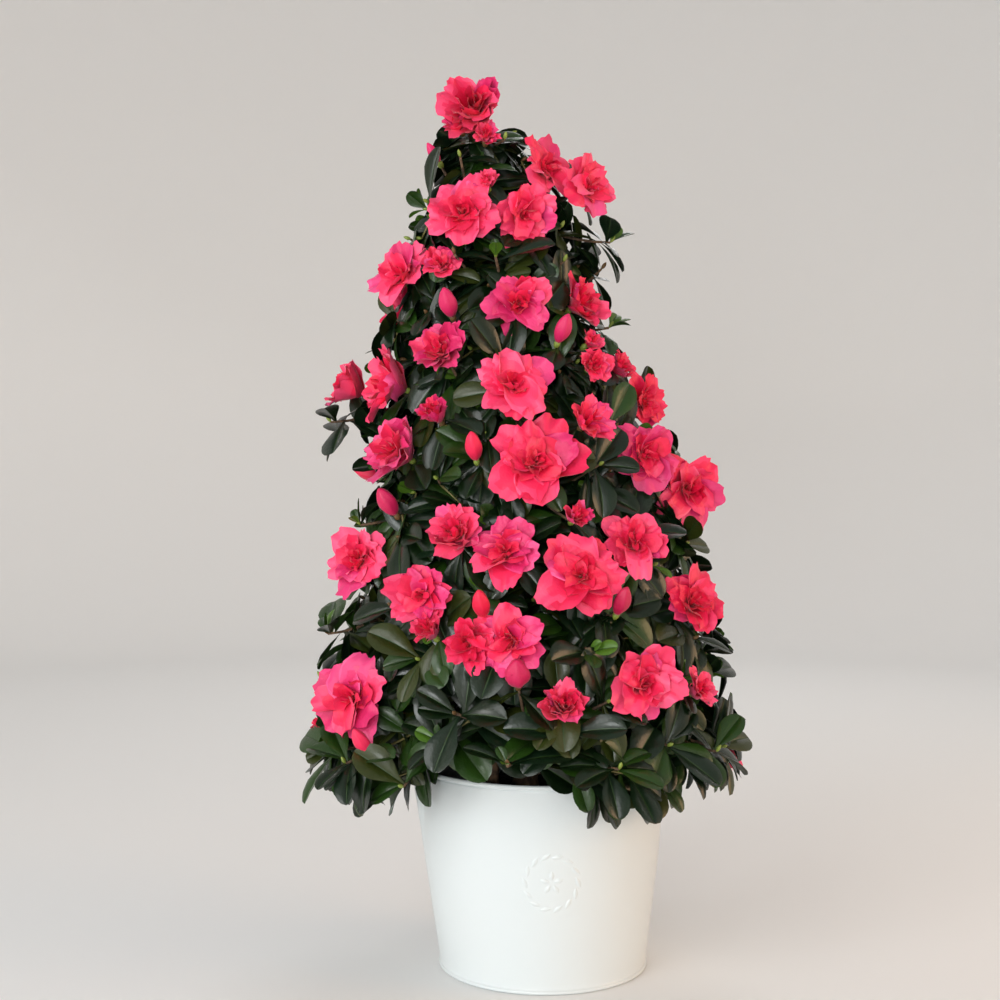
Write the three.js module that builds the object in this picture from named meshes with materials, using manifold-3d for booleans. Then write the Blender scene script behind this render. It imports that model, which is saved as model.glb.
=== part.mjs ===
// A pyramid azalea in a tapered metal pot, in millimetres, with +Z up.
// The origin is the middle of the pot's flat underside, and -Y is the side that is seen from in front.
// One trunk carries boughs in tiers. Three side stems rise beside it, and every mass of foliage
// has one stem, from which twigs reach out to shoots that end in leaves, a bud or a double bloom.
import * as THREE from "three";
import { mergeVertices } from "three/addons/utils/BufferGeometryUtils.js";
import Module from "manifold-3d";

const wasm = await Module();
wasm.setup();

// Driving sizes of the pot: a round tapered wall, drawn out into a pouring lip on either side.
const POT_HEIGHT = 134;
const POT_FOOT_RADIUS = 69;
const POT_RIM_RADIUS = 77;
const POT_WALL = 1;
const POT_FLOOR = 2;
const RIM_BEAD = 1.3;
const FOOT_BEAD = 1.2;
const LIP_OUT = 12.5;
const LIP_TURN = 10;
const LIP_WIDTH_AT_FOOT = 62;
const LIP_WIDTH_AT_RIM = 42;
const LIP_FALL = 1.4;
const FOLD_FOOT = 72;
const FOLD_WIDTH = 12;
const LEAST_FOLD = 1.5;
const FOLD_DEPTH = 0.55;
const POT_SEGMENTS = 36;
const WALL_BEND = 80;

// Driving sizes of the plant.
const SOIL_TOP = 117;
const SOIL_EDGE_DROP = 5;
const SOIL_EDGE_WIDTH = 12;
const SOIL_PLAY = 1.3;
const PLANT_TOP = 608;
const LOWEST_TIP = 104;
const CROWN_BOTTOM = 128;
const CROWN_RADIUS = 152;
const CROWN_POWER = 0.65;
const TRUNK_FOOT = -12;
const TRUNK_LEAN = -28;
const TRUNK_SWAY = 5;
const TRUNK_TOP = 548;
const TRUNK_RADIUS = 7;
const TRUNK_TIP_RADIUS = 1.9;
const ROOT_FLARE = 5;
const SIDE_STEM_SPREAD = 43;
const SIDE_STEM_RADIUS = 4;
const FORK_DROP = 14;
const FORK_STAGGER = 6;
const BOUGH_REACH = 0.4;
const BOUGH_END_DROP = 10;
const BOUGH_RADIUS = 3.4;
const STEM_RADIUS = 2.6;
const STEM_REACH = 0.8;
const STEM_DROP = 8;
const TIP_STEM_TOP = 572;
const MASS_REACH = 0.8;
const TWIG_RADIUS = 1.5;
const SEAT_GAP = 0.3;
const CLEARANCE = 0.45;
const FINEST_DETAIL = 0.02;

// The tiers of the crown, from the skirt over the pot's rim to the tip. A tier with boughs
// hangs its masses on them, and in the others the masses' own stems spring from the trunk.
const TIERS = [
  { name: "skirt", height: 172, masses: 6, bearing: 0, boughs: true },
  { name: "lower", height: 246, masses: 6, bearing: -30, boughs: true, sideStems: true },
  { name: "middle", height: 320, masses: 5, bearing: 10, boughs: true },
  { name: "upper", height: 390, masses: 5, bearing: -26, boughs: true },
  { name: "shoulder", height: 452, masses: 4, bearing: 20, boughs: false },
  { name: "neck", height: 512, masses: 3, bearing: -40, boughs: false },
  { name: "tip", height: 566, masses: 1, bearing: 0, boughs: false },
];

// Where the blooms of the front stand, seen from in front: how far right of the pot's axis and
// how high, in millimetres on the plane through that axis, then the bloom's width and how far
// it has opened, from 0 for a tight bud to 1 for a flat bloom. A width of 0 is a leafy shoot.
const EYE = new THREE.Vector3(-29, -972, 313);
const FRONT_SHOOTS = [
  [-43, 590, 54, 0.8], [-60, 567, 22, 0.5], [-40, 562, 17, 0.35], [-78, 550, 9, 0.08],
  [-2, 540, 43, 0.9], [32, 527, 50, 0.8], [-54, 508, 52, 0.95], [-14, 510, 46, 0.75],
  [-37, 529, 17, 0.4], [-97, 466, 46, 0.8], [-72, 471, 27, 0.65], [-16, 449, 44, 0.8],
  [26, 445, 37, 0.55], [-63, 443, 12, 0.08], [-68, 413, 38, 0.6], [12, 425, 11, 0.08],
  [33, 421, 17, 0.4], [34, 404, 26, 0.6], [53, 403, 23, 0.5], [-105, 391, 44, 0.8],
  [-134, 388, 38, 0.75], [-21, 390, 54, 1], [-73, 372, 21, 0.3], [32, 368, 31, 0.4],
  [74, 379, 38, 0.6], [-100, 344, 46, 0.85], [-5, 339, 60, 1], [70, 343, 50, 0.95],
  [101, 322, 54, 0.85], [-46, 345, 11, 0.05], [-103, 308, 12, 0.1], [-125, 272, 50, 0.9],
  [-62, 292, 30, 0.45], [-25, 276, 46, 0.9], [25, 261, 58, 1], [64, 281, 46, 0.7],
  [22, 302, 19, 0.4], [102, 242, 48, 0.85], [-83, 249, 44, 0.8], [-77, 225, 22, 0.3],
  [-51, 218, 34, 0.6], [-19, 218, 48, 0.9], [-17, 193, 16, 0.1], [-41, 238, 11, 0.05],
  [-132, 179, 60, 0.95], [69, 191, 50, 0.75], [107, 183, 26, 0.5], [15, 173, 30, 0.35],
  [-120, 144, 10, 0.05], [52, 240, 11, 0.05], [-150, 162, 14, 0.3],
  [-144, 366, 0, 0], [-124, 296, 0, 0], [-146, 222, 0, 0], [-150, 192, 0, 0], [-134, 134, 0, 0],
  [118, 142, 0, 0], [40, 470, 0, 0], [45, 430, 0, 0], [-60, 480, 0, 0], [-24, 132, 0, 0],
  [52, 130, 0, 0], [-56, 546, 0, 0], [-26, 558, 0, 0], [12, 498, 0, 0], [-32, 478, 0, 0],
  [14, 475, 0, 0], [46, 488, 0, 0],
];
const BUD_OPENING = 0.22;
const PETALS = 5;
const BLOOM_SINK = 2.6;
const FRONT_LIFT = 0.22;
const HALF_OPEN = 0.55;
const HALF_OPEN_LIFT = 2.2;
const FRONT_TURN = 0.5;
const FRONT_REACH = 0.97;

// How the shoots between and behind those blooms are dealt out over the crown.
const SHOOTS = 134;
const SHOOT_LIFT = 0.35;
const BUD_SHARE = 0.22;
const BUD_WIDTH = 11;
const BLOOM_WIDTH = 38;
const BLOOM_WIDTH_MORE = 16;
const BLOOM_REACH = 0.99;
const LEAFY_REACH = 0.86;
const BLOOM_ROOM = 9;
const RIM_SHOOTS = 12;
const RIM_SHOOT_HEIGHT = 142;
const RIM_SHOOT_REACH = 0.62;
const GOLDEN_ANGLE = 137.508;
const FRONT_ARC = 98;
const BLOOM_SHARE = 0.62;
const SHOOT_SPACING = 25;

// Leaves are a little larger than life, because they stand for more of them.
const LEAF_LENGTH = 48;
const LEAF_WIDTH = 26;
const LEAF_THICKNESS = 1.8;
const LEAVES_ON_SHOOT = 5;
const LEAVES_UNDER_BLOOM = 2;

const PAINT = {
  enamel: { color: 0xe9e8e1, roughness: 0.35, metalness: 0 },
  soil: { color: 0x33261d, roughness: 0.95, metalness: 0 },
  bark: { color: 0x5c4a3a, roughness: 0.85, metalness: 0 },
  foliage: { color: 0x2c4a30, roughness: 0.45, metalness: 0 },
};
const group = new THREE.Group();
const radians = THREE.MathUtils.degToRad;
const up = new THREE.Vector3(0, 0, 1);

// A seeded dice: the same seed always throws the same numbers from 0 to 1.
function diceFrom(seed) {
  let state = (seed * 7919 + 12345) % 4294967296;
  return () => {
    state = (state * 1664525 + 1013904223) % 4294967296;
    return state / 4294967296;
  };
}

// Solids and their meshes.
function solidOf(geometry) {
  const bare = geometry.clone();
  bare.deleteAttribute("normal");
  bare.deleteAttribute("uv");
  const merged = mergeVertices(bare, 1e-4);
  return new wasm.Manifold(
    new wasm.Mesh({
      numProp: 3,
      vertProperties: new Float32Array(merged.attributes.position.array),
      triVerts: new Uint32Array(merged.index.array),
    }),
  );
}

function addNode(name, solid, paint) {
  const made = solid.simplify(FINEST_DETAIL).getMesh();
  const places = new Float32Array(made.numVert * 3);
  for (let i = 0; i < made.numVert; i++) {
    places.set(made.vertProperties.subarray(i * made.numProp, i * made.numProp + 3), i * 3);
  }
  const geometry = new THREE.BufferGeometry();
  geometry.setAttribute("position", new THREE.BufferAttribute(places, 3));
  geometry.setIndex(new THREE.BufferAttribute(new Uint32Array(made.triVerts), 1));
  geometry.computeVertexNormals();
  const mesh = new THREE.Mesh(geometry, new THREE.MeshStandardMaterial(PAINT[paint]));
  mesh.name = name;
  group.add(mesh);
}

function moveVertices(geometry, moved) {
  const places = geometry.getAttribute("position");
  const point = new THREE.Vector3();
  for (let i = 0; i < places.count; i++) {
    moved(point.fromBufferAttribute(places, i));
    places.setXYZ(i, point.x, point.y, point.z);
  }
  return geometry;
}

// A limb: rings set square to the line through the points, with a flat cut at each end.
function limb(points, radii, sides) {
  const corners = [];
  const faces = [];
  const last = points.length - 1;
  let across = new THREE.Vector3(1, 0, 0);
  points.forEach((point, i) => {
    const along = points[Math.min(i + 1, last)].clone().sub(points[Math.max(i - 1, 0)]).normalize();
    if (Math.abs(across.dot(along)) > 0.95) across = new THREE.Vector3(0, 1, 0);
    across = across.clone().projectOnPlane(along).normalize();
    const aside = along.clone().cross(across);
    for (let k = 0; k < sides; k++) {
      const turn = (2 * Math.PI * k) / sides;
      const radius = typeof radii === "function" ? radii(i / last, turn) : radii[i];
      corners.push(
        ...point
          .clone()
          .addScaledVector(across, radius * Math.cos(turn))
          .addScaledVector(aside, radius * Math.sin(turn)),
      );
    }
  });
  for (let i = 0; i < last; i++) {
    for (let k = 0; k < sides; k++) {
      const here = i * sides + k;
      const next = i * sides + ((k + 1) % sides);
      faces.push(here, next, here + sides, next, next + sides, here + sides);
    }
  }
  for (let k = 1; k < sides - 1; k++) {
    faces.push(0, k + 1, k, last * sides, last * sides + k, last * sides + k + 1);
  }
  const geometry = new THREE.BufferGeometry();
  geometry.setAttribute("position", new THREE.Float32BufferAttribute(corners, 3));
  geometry.setIndex(faces);
  return solidOf(geometry);
}

// The pot's outline in plan: a circle that grows with height, and a lip on either side. Towards
// the rim the lip is folded: straight from its tip to a crease, and then it falls off to the wall.
function potRadius(turn, height) {
  const share = THREE.MathUtils.clamp(height / POT_HEIGHT, 0, 1);
  const fromLip = Math.min(
    ...[LIP_TURN, LIP_TURN + 180].map((lip) => Math.abs(((turn - lip + 540) % 360) - 180)),
  );
  const width = THREE.MathUtils.lerp(LIP_WIDTH_AT_FOOT, LIP_WIDTH_AT_RIM, share);
  const deep = THREE.MathUtils.clamp((height - FOLD_FOOT) / (POT_HEIGHT - FOLD_FOOT), 0, 1);
  const fold = THREE.MathUtils.lerp(LEAST_FOLD, FOLD_WIDTH, deep);
  const crease = 1 - FOLD_DEPTH * deep;
  const lobe =
    fromLip < fold
      ? THREE.MathUtils.lerp(1, crease, fromLip / fold)
      : crease * (1 - Math.min(1, (fromLip - fold) / (width - fold))) ** LIP_FALL;
  return POT_FOOT_RADIUS + (POT_RIM_RADIUS - POT_FOOT_RADIUS) * share + LIP_OUT * share * lobe;
}

// A body turned about the pot's axis, given by how far inside the pot's outline each point of
// its profile lies and how high. An inset of null is a point on the axis.
function potShaped(profile) {
  const base = 2 * POT_RIM_RADIUS;
  const turned = new THREE.LatheGeometry(
    profile.map(([inset, height]) => new THREE.Vector2(inset === null ? 0 : base - inset, height)),
    POT_SEGMENTS,
  );
  turned.rotateX(Math.PI / 2);
  return moveVertices(turned, (point) => {
    const radius = Math.hypot(point.x, point.y);
    if (radius < POT_RIM_RADIUS) return;
    const turn = THREE.MathUtils.radToDeg(Math.atan2(point.y, point.x));
    const wanted = potRadius((turn + 360) % 360, point.z) - (base - radius);
    point.x *= wanted / radius;
    point.y *= wanted / radius;
  });
}

function makePot() {
  return solidOf(
    potShaped([
      [null, 0],
      [0, 0],
      [-FOOT_BEAD, FOOT_BEAD],
      [-FOOT_BEAD, 2 * FOOT_BEAD],
      [0, 3.2 * FOOT_BEAD],
      [0, WALL_BEND],
      [0, POT_HEIGHT - 2.4 * RIM_BEAD],
      [-RIM_BEAD, POT_HEIGHT - 1.7 * RIM_BEAD],
      [-RIM_BEAD, POT_HEIGHT - 0.5 * RIM_BEAD],
      [0, POT_HEIGHT],
      [POT_WALL, POT_HEIGHT - 0.5 * RIM_BEAD],
      [POT_WALL, SOIL_TOP - SOIL_EDGE_DROP],
      [POT_WALL, WALL_BEND],
      [POT_WALL, POT_FLOOR],
      [null, POT_FLOOR],
    ]),
  );
}

// The compost fills the pot to just under its rim. It is level where the stems stand.
function makeSoil() {
  const inset = POT_WALL + SOIL_PLAY;
  return solidOf(
    potShaped([
      [null, POT_FLOOR + SEAT_GAP],
      [inset, POT_FLOOR + SEAT_GAP],
      [inset, WALL_BEND],
      [inset, SOIL_TOP - SOIL_EDGE_DROP],
      [inset + SOIL_EDGE_WIDTH, SOIL_TOP],
      [null, SOIL_TOP],
    ]),
  );
}

// The crown's form: a centre line that leans with the trunk, and a reach that shrinks upwards.
function centreAt(height) {
  const share = THREE.MathUtils.clamp((height - SOIL_TOP) / (PLANT_TOP - SOIL_TOP), 0, 1);
  const sway = TRUNK_SWAY * Math.sin(share * Math.PI * 2);
  return new THREE.Vector3(TRUNK_FOOT + TRUNK_LEAN * share ** 1.3 + sway, -0.6 * sway, height);
}

function reachAt(height) {
  const share = THREE.MathUtils.clamp((height - CROWN_BOTTOM) / (PLANT_TOP - CROWN_BOTTOM), 0, 1);
  return CROWN_RADIUS * (1 - share) ** CROWN_POWER;
}

// The way outwards at a bearing, which is 0 at the front and 90 on the right, with some lift.
function outwards(bearing, lift) {
  const turn = radians(bearing);
  return new THREE.Vector3(Math.sin(turn), -Math.cos(turn), lift).normalize();
}

function onCrown(bearing, height, share) {
  return centreAt(height).addScaledVector(outwards(bearing, 0), reachAt(height) * share);
}

function bearingOf(point) {
  const centre = centreAt(point.z);
  return THREE.MathUtils.radToDeg(Math.atan2(point.x - centre.x, centre.y - point.y));
}

// A bloom of the front lies where the sight line to it first meets the crown's outline,
// or comes nearest to it.
function sighted(across, height) {
  const line = new THREE.Vector3(across, 0, height).sub(EYE);
  let best = null;
  let least = Infinity;
  for (let step = 0; step <= 80; step++) {
    const point = EYE.clone().addScaledVector(line, 0.8 + 0.0025 * step);
    const centre = centreAt(point.z);
    const beyond = Math.hypot(point.x - centre.x, point.y - centre.y) - reachAt(point.z) * FRONT_REACH;
    if (beyond < least) {
      least = beyond;
      best = point;
    }
    if (beyond <= 0) break;
  }
  return best;
}

// Every shoot of the crown: where it ends, the way it points, and its bloom, if it has one.
function dealShoots() {
  const shoots = FRONT_SHOOTS.map(([across, height, width, opening]) => {
    const place = sighted(across, height);
    const lift = FRONT_LIFT + HALF_OPEN_LIFT * Math.max(0, HALF_OPEN - opening);
    const facing = outwards(bearingOf(place) * FRONT_TURN, lift);
    place.addScaledVector(facing, 0.4 * bloomRise(width, opening));
    return { place, facing, width, opening };
  });
  const dice = diceFrom(11);
  for (let k = 0; k < SHOOTS; k++) {
    const share = 1 - (1 - (k + 0.5) / SHOOTS) ** (1 / (1 + CROWN_POWER));
    const height = CROWN_BOTTOM + 8 + (PLANT_TOP - CROWN_BOTTOM - 14) * share;
    const bearing = ((k * GOLDEN_ANGLE + 14 * dice()) % 360) - 180;
    const blooms = Math.abs(bearing) > FRONT_ARC && dice() < BLOOM_SHARE;
    const opening = dice() < BUD_SHARE ? 0.1 : 0.55 + 0.45 * dice();
    const width = opening < BUD_OPENING ? BUD_WIDTH : BLOOM_WIDTH + BLOOM_WIDTH_MORE * dice();
    const place = onCrown(bearing, height, blooms ? BLOOM_REACH : LEAFY_REACH + 0.1 * dice());
    const room = SHOOT_SPACING + (blooms ? BLOOM_ROOM : 0);
    if (shoots.some((other) => other.place.distanceTo(place) < room)) continue;
    const facing = outwards(bearing, SHOOT_LIFT);
    shoots.push(blooms ? { place, facing, width, opening } : { place, facing, width: 0, opening: 0 });
  }
  for (let k = 0; k < RIM_SHOOTS; k++) {
    const bearing = (360 * (k + 0.5 * dice())) / RIM_SHOOTS;
    const place = onCrown(bearing, RIM_SHOOT_HEIGHT + 10 * dice(), RIM_SHOOT_REACH);
    shoots.push({ place, facing: outwards(bearing, -0.1), width: 0, opening: 0 });
  }
  return shoots;
}

// Limbs of one tier leave the trunk on a spiral, so that no two fork at one height.
function staggerOf(tier, index) {
  return FORK_STAGGER * ((index * (tier.masses - 1)) % tier.masses);
}

// The masses. A mass takes the shoots that lie nearest to its anchor on the crown.
function plotMasses() {
  return TIERS.flatMap((tier) =>
    Array.from({ length: tier.masses }, (_, index) => {
      const bearing = tier.bearing + (360 * index) / tier.masses;
      return {
        name: tier.masses === 1 ? `${tier.name}_foliage` : `${tier.name}_foliage_${index + 1}`,
        tier,
        index,
        bearing,
        onSideStem: Boolean(tier.sideStems) && index % 2 === 0,
        anchor: onCrown(bearing, tier.height, tier.masses === 1 ? 0 : MASS_REACH),
        shoots: [],
      };
    }),
  );
}

function bezier(start, bend, end, steps) {
  return new THREE.QuadraticBezierCurve3(start, bend, end).getPoints(steps);
}

// The trunk runs up through the crown, with a root flare of four low ribs at its flat foot.
function trunkSolid(extra) {
  const steps = 13;
  const points = [];
  for (let i = 0; i <= steps; i++) {
    points.push(centreAt(SOIL_TOP + SEAT_GAP + (TRUNK_TOP - SOIL_TOP - SEAT_GAP) * (i / steps) ** 1.35));
  }
  points[0].x = points[1].x;
  points[0].y = points[1].y;
  return limb(
    points,
    (share, turn) => {
      const flare = ROOT_FLARE * Math.exp(-share * 14) * (0.7 + 0.3 * Math.cos(4 * turn));
      return THREE.MathUtils.lerp(TRUNK_RADIUS, TRUNK_TIP_RADIUS, share ** 0.8) + flare + extra;
    },
    8,
  );
}

// A bough curves from the trunk to where its mass begins, and a side stem from the compost.
function boughPoints(mass) {
  const end = onCrown(mass.bearing, mass.tier.height - BOUGH_END_DROP, BOUGH_REACH);
  const out = outwards(mass.bearing, 0);
  if (mass.onSideStem) {
    const foot = centreAt(SOIL_TOP + SEAT_GAP).addScaledVector(out, SIDE_STEM_SPREAD);
    const above = foot.clone().addScaledVector(up, 0.6 * (end.z - foot.z));
    const points = bezier(foot, above, end, 4);
    points[1].set(foot.x, foot.y, points[1].z);
    return points;
  }
  const fork = centreAt(mass.tier.height - FORK_DROP - staggerOf(mass.tier, mass.index));
  const bend = fork.clone().addScaledVector(outwards(mass.bearing, 0.25), 0.6 * fork.distanceTo(end));
  return bezier(fork, bend, end, 3);
}

function boughSolid(mass, trunkSleeve) {
  const thick = mass.onSideStem ? SIDE_STEM_RADIUS : BOUGH_RADIUS;
  const whole = limb(boughPoints(mass), (share) => THREE.MathUtils.lerp(thick, STEM_RADIUS, share), 6);
  return mass.onSideStem ? whole : largest(whole.subtract(trunkSleeve));
}

// A mass's own stem goes on from its bough's cut end, or springs from the trunk or its tip.
function stemPoints(mass) {
  if (mass.tier.masses === 1) {
    const start = centreAt(TRUNK_TOP + SEAT_GAP);
    const end = centreAt(TIP_STEM_TOP);
    return [start, start.clone().lerp(end, 0.3), end];
  }
  if (!mass.tier.boughs) {
    const start = centreAt(mass.tier.height - STEM_DROP - staggerOf(mass.tier, mass.index));
    const end = start.clone().lerp(mass.anchor, STEM_REACH);
    return [start, start.clone().lerp(end, 0.3), end];
  }
  const [before, boughEnd] = boughPoints(mass).slice(-2);
  const way = boughEnd.clone().sub(before).normalize();
  const start = boughEnd.clone().addScaledVector(way, SEAT_GAP);
  const end = start.clone().lerp(mass.anchor, STEM_REACH);
  return [start, start.clone().addScaledVector(way, 0.3 * start.distanceTo(end)), end];
}

function stemSolid(mass, trunkSleeve) {
  const radii = [1, 0.92, 0.85].map((part) => part * STEM_RADIUS);
  const whole = limb(mass.stem, radii, 4);
  return mass.tier.boughs || mass.tier.masses === 1 ? whole : whole.subtract(trunkSleeve);
}

// A leaf: a thin blade with its root in the twig, widest past its middle. It has a flat underside,
// a raised rib on top, and its tip hangs.
function leafSolid(root, along, facing, length) {
  const half = (0.5 * LEAF_WIDTH * length) / LEAF_LENGTH;
  const middle = 0.56 * length;
  const hang = -0.1 * length;
  const corners = [0, 0, 0, middle, half, 0, length, 0, hang, middle, -half, 0, middle, 0, LEAF_THICKNESS];
  const geometry = new THREE.BufferGeometry();
  geometry.setAttribute("position", new THREE.Float32BufferAttribute(corners, 3));
  geometry.setIndex([0, 1, 3, 1, 2, 3, 4, 1, 0, 4, 2, 1, 4, 3, 2, 4, 0, 3]);
  const aside = facing.clone().cross(along).normalize();
  const turn = new THREE.Matrix4().makeBasis(along, aside, along.clone().cross(aside));
  return solidOf(geometry.applyMatrix4(turn.setPosition(root)));
}

// A double bloom opens like a cup: the wider it has opened, the flatter it is.
function bloomRise(width, opening) {
  return opening < BUD_OPENING ? 0.8 * width : (0.5 * width) / Math.tan(radians(20 + 52 * opening));
}

function turnOnto(geometry, seat, facing) {
  const turn = new THREE.Quaternion().setFromUnitVectors(up, facing);
  return geometry.applyMatrix4(new THREE.Matrix4().makeRotationFromQuaternion(turn).setPosition(seat));
}

// A bud is a closed spindle of five sides on its seat.
function budSolid(seat, facing, width) {
  const outline = [[0, 0], [0.45, 0.8], [0, 2.3]].map(
    ([radius, height]) => new THREE.Vector2(radius * width, height * width),
  );
  const spindle = new THREE.LatheGeometry(outline, PETALS);
  return solidOf(turnOnto(spindle.rotateX(Math.PI / 2), seat, facing));
}

// A bloom has five petal tips with a notch between each two, round a raised rosette.
function bloomSolid(seat, facing, width, opening, roll) {
  const rise = bloomRise(width, opening);
  const corners = [0, 0, 0, 0, 0, rise + 0.08 * width];
  for (let k = 0; k < PETALS; k++) {
    for (const [radius, height, shift] of [[0.5, 1, 0], [0.37, 0.84, 0.5], [0.2, 0.86, 0.5]]) {
      const turn = roll + (2 * Math.PI * (k + shift)) / PETALS;
      corners.push(radius * width * Math.cos(turn), radius * width * Math.sin(turn), height * rise);
    }
  }
  const faces = [];
  for (let k = 0; k < PETALS; k++) {
    const [tip, notch, inner] = [0, 1, 2].map((ring) => 2 + 3 * k + ring);
    const [nextTip, nextNotch, nextInner] = [0, 1, 2].map((ring) => 2 + 3 * ((k + 1) % PETALS) + ring);
    faces.push(0, nextNotch, notch, notch, nextNotch, nextTip);
    faces.push(tip, notch, inner, notch, nextTip, inner, nextTip, nextInner, inner, inner, nextInner, 1);
  }
  const geometry = new THREE.BufferGeometry();
  geometry.setAttribute("position", new THREE.Float32BufferAttribute(corners, 3));
  geometry.setIndex(faces);
  return solidOf(turnOnto(geometry, seat, facing));
}

// What has grown so far, with its box, so that each new piece can keep clear of it.
const grown = [];

function boxOf(solid) {
  const { min, max } = solid.boundingBox();
  return new THREE.Box3(new THREE.Vector3(...min), new THREE.Vector3(...max));
}

function keep(solid, owner) {
  const entry = { solid, owner, box: boxOf(solid) };
  grown.push(entry);
  return entry;
}

function touches(solid, allowed) {
  const box = boxOf(solid).expandByScalar(CLEARANCE);
  return grown.some(
    (other) =>
      !allowed(other) && other.box.intersectsBox(box) && solid.minGap(other.solid, CLEARANCE) < CLEARANCE,
  );
}

// One shoot's twig, from the mass's stem to its seat. A bend that would touch something else
// is tried again on another path.
function growTwig(mass, shoot, number) {
  const rise = bloomRise(shoot.width, shoot.opening);
  const seat = shoot.place.clone().addScaledVector(shoot.facing, shoot.width ? -rise : 0);
  const share = (number + 0.5) / mass.shoots.length;
  const [, middle, tip] = mass.stem;
  const root = middle.clone().lerp(tip, 0.95 * share);
  const way = tip.clone().sub(middle).normalize();
  for (const [ahead, lift] of [[0.05, 0], [0.05, 0.12], [0.05, -0.15], [0.3, 0.1], [0.15, -0.25]]) {
    const reach = root.distanceTo(seat);
    const bend = root.clone().addScaledVector(way, ahead * reach).addScaledVector(up, lift * reach);
    bend.lerp(seat.clone().addScaledVector(shoot.facing, -0.35 * reach), 0.5);
    const points = bezier(root, bend, seat, 2);
    const solid = limb(points, [0.9, 1, 1].map((part) => part * TWIG_RADIUS), 3);
    if (!touches(solid, (other) => other.owner === mass.name)) return { solid, points, seat };
  }
  return null;
}

function alongStem(mass, shoot) {
  const [start, , tip] = mass.stem;
  return shoot.place.clone().sub(start).dot(tip.clone().sub(start));
}

// The leaves round the end of a twig, dealt by the golden angle.
function growLeaves(mass, shoot, count, dice) {
  const [before, end] = shoot.twig.points.slice(-2);
  const along = shoot.facing;
  const side = new THREE.Vector3(0, 0, 1).cross(along).normalize();
  const over = along.clone().cross(side);
  const made = [];
  for (let k = 0; k < count * 3 && made.length < count; k++) {
    const turn = radians(k * GOLDEN_ANGLE + 360 * dice());
    const round = side.clone().multiplyScalar(Math.cos(turn)).addScaledVector(over, Math.sin(turn));
    const spread = radians(shoot.width ? 78 : 50 + 24 * dice());
    const way = along.clone().multiplyScalar(Math.cos(spread)).addScaledVector(round, Math.sin(spread));
    way.z -= 0.22;
    way.normalize();
    const back = (shoot.width ? 5 : 1.5) + 2.2 * (k % 4);
    const root = end.clone().addScaledVector(before.clone().sub(end).normalize(), back);
    const length = LEAF_LENGTH * (0.8 + 0.3 * dice());
    const tip = root.clone().addScaledVector(way, length);
    const out = Math.hypot(tip.x - centreAt(tip.z).x, tip.y - centreAt(tip.z).y);
    const limit = reachAt(Math.max(tip.z, CROWN_BOTTOM + 12)) * 1.1 + 4;
    if (out > limit || tip.z > PLANT_TOP - 4 || tip.z < LOWEST_TIP) continue;
    const leaf = leafSolid(root, way, along.clone().addScaledVector(up, 0.4).normalize(), length);
    if (touches(leaf, (other) => other === shoot.entry)) continue;
    keep(leaf, mass.name);
    made.push(leaf);
  }
  return made;
}

function largest(solid) {
  return solid.decompose().reduce((a, b) => (b.volume() > a.volume() ? b : a));
}

const masses = plotMasses();
const shoots = dealShoots();

for (const shoot of shoots) {
  const anchorGap = (mass) => mass.anchor.distanceTo(shoot.place);
  masses.reduce((a, b) => (anchorGap(b) < anchorGap(a) ? b : a)).shoots.push(shoot);
}

const pot = makePot();
const soil = makeSoil();
const trunk = trunkSolid(0);
const trunkSleeve = trunkSolid(SEAT_GAP);
addNode("pot", pot, "enamel");
addNode("compost", soil, "soil");
addNode("trunk", trunk, "bark");
keep(pot, "pot");
keep(soil, "compost");
keep(trunk, "trunk");

for (const mass of masses.filter((one) => one.tier.boughs)) {
  const name = `${mass.tier.name}_${mass.onSideStem ? "side_stem" : "bough"}_${mass.index + 1}`;
  const bough = boughSolid(mass, trunkSleeve);
  addNode(name, bough, "bark");
  keep(bough, name);
}
for (const mass of masses) {
  mass.stem = stemPoints(mass);
  mass.pieces = [stemSolid(mass, trunkSleeve)];
  keep(mass.pieces[0], mass.name);
}

// Twigs and blooms come first, over the whole crown, and leaves fill what is left.
for (const mass of masses) {
  mass.shoots.sort((a, b) => alongStem(mass, a) - alongStem(mass, b));
  mass.shoots.forEach((shoot, number) => {
    shoot.twig = growTwig(mass, shoot, number);
    if (!shoot.twig) return;
    shoot.entry = keep(shoot.twig.solid, mass.name);
    mass.pieces.push(shoot.twig.solid);
  });
}
for (const mass of masses) {
  mass.shoots.forEach((shoot, number) => {
    if (!shoot.width || !shoot.twig) return;
    for (const size of [1, 0.85, 0.7, 0.55]) {
      const seat = shoot.twig.seat.clone().addScaledVector(shoot.facing, -BLOOM_SINK);
      const width = shoot.width * size;
      const bloom =
        shoot.opening < BUD_OPENING
          ? budSolid(seat, shoot.facing, width)
          : bloomSolid(seat, shoot.facing, width, shoot.opening, number);
      if (touches(bloom, (other) => other === shoot.entry)) continue;
      keep(bloom, mass.name);
      mass.pieces.push(bloom);
      return;
    }
  });
}
masses.forEach((mass, at) => {
  const dice = diceFrom(100 + at);
  for (const shoot of mass.shoots) {
    if (!shoot.twig) continue;
    const count = shoot.width ? LEAVES_UNDER_BLOOM : LEAVES_ON_SHOOT;
    mass.pieces.push(...growLeaves(mass, shoot, count, dice));
  }
});

for (const mass of masses) {
  addNode(mass.name, largest(wasm.Manifold.union(mass.pieces)), "foliage");
}

export default group;
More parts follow.
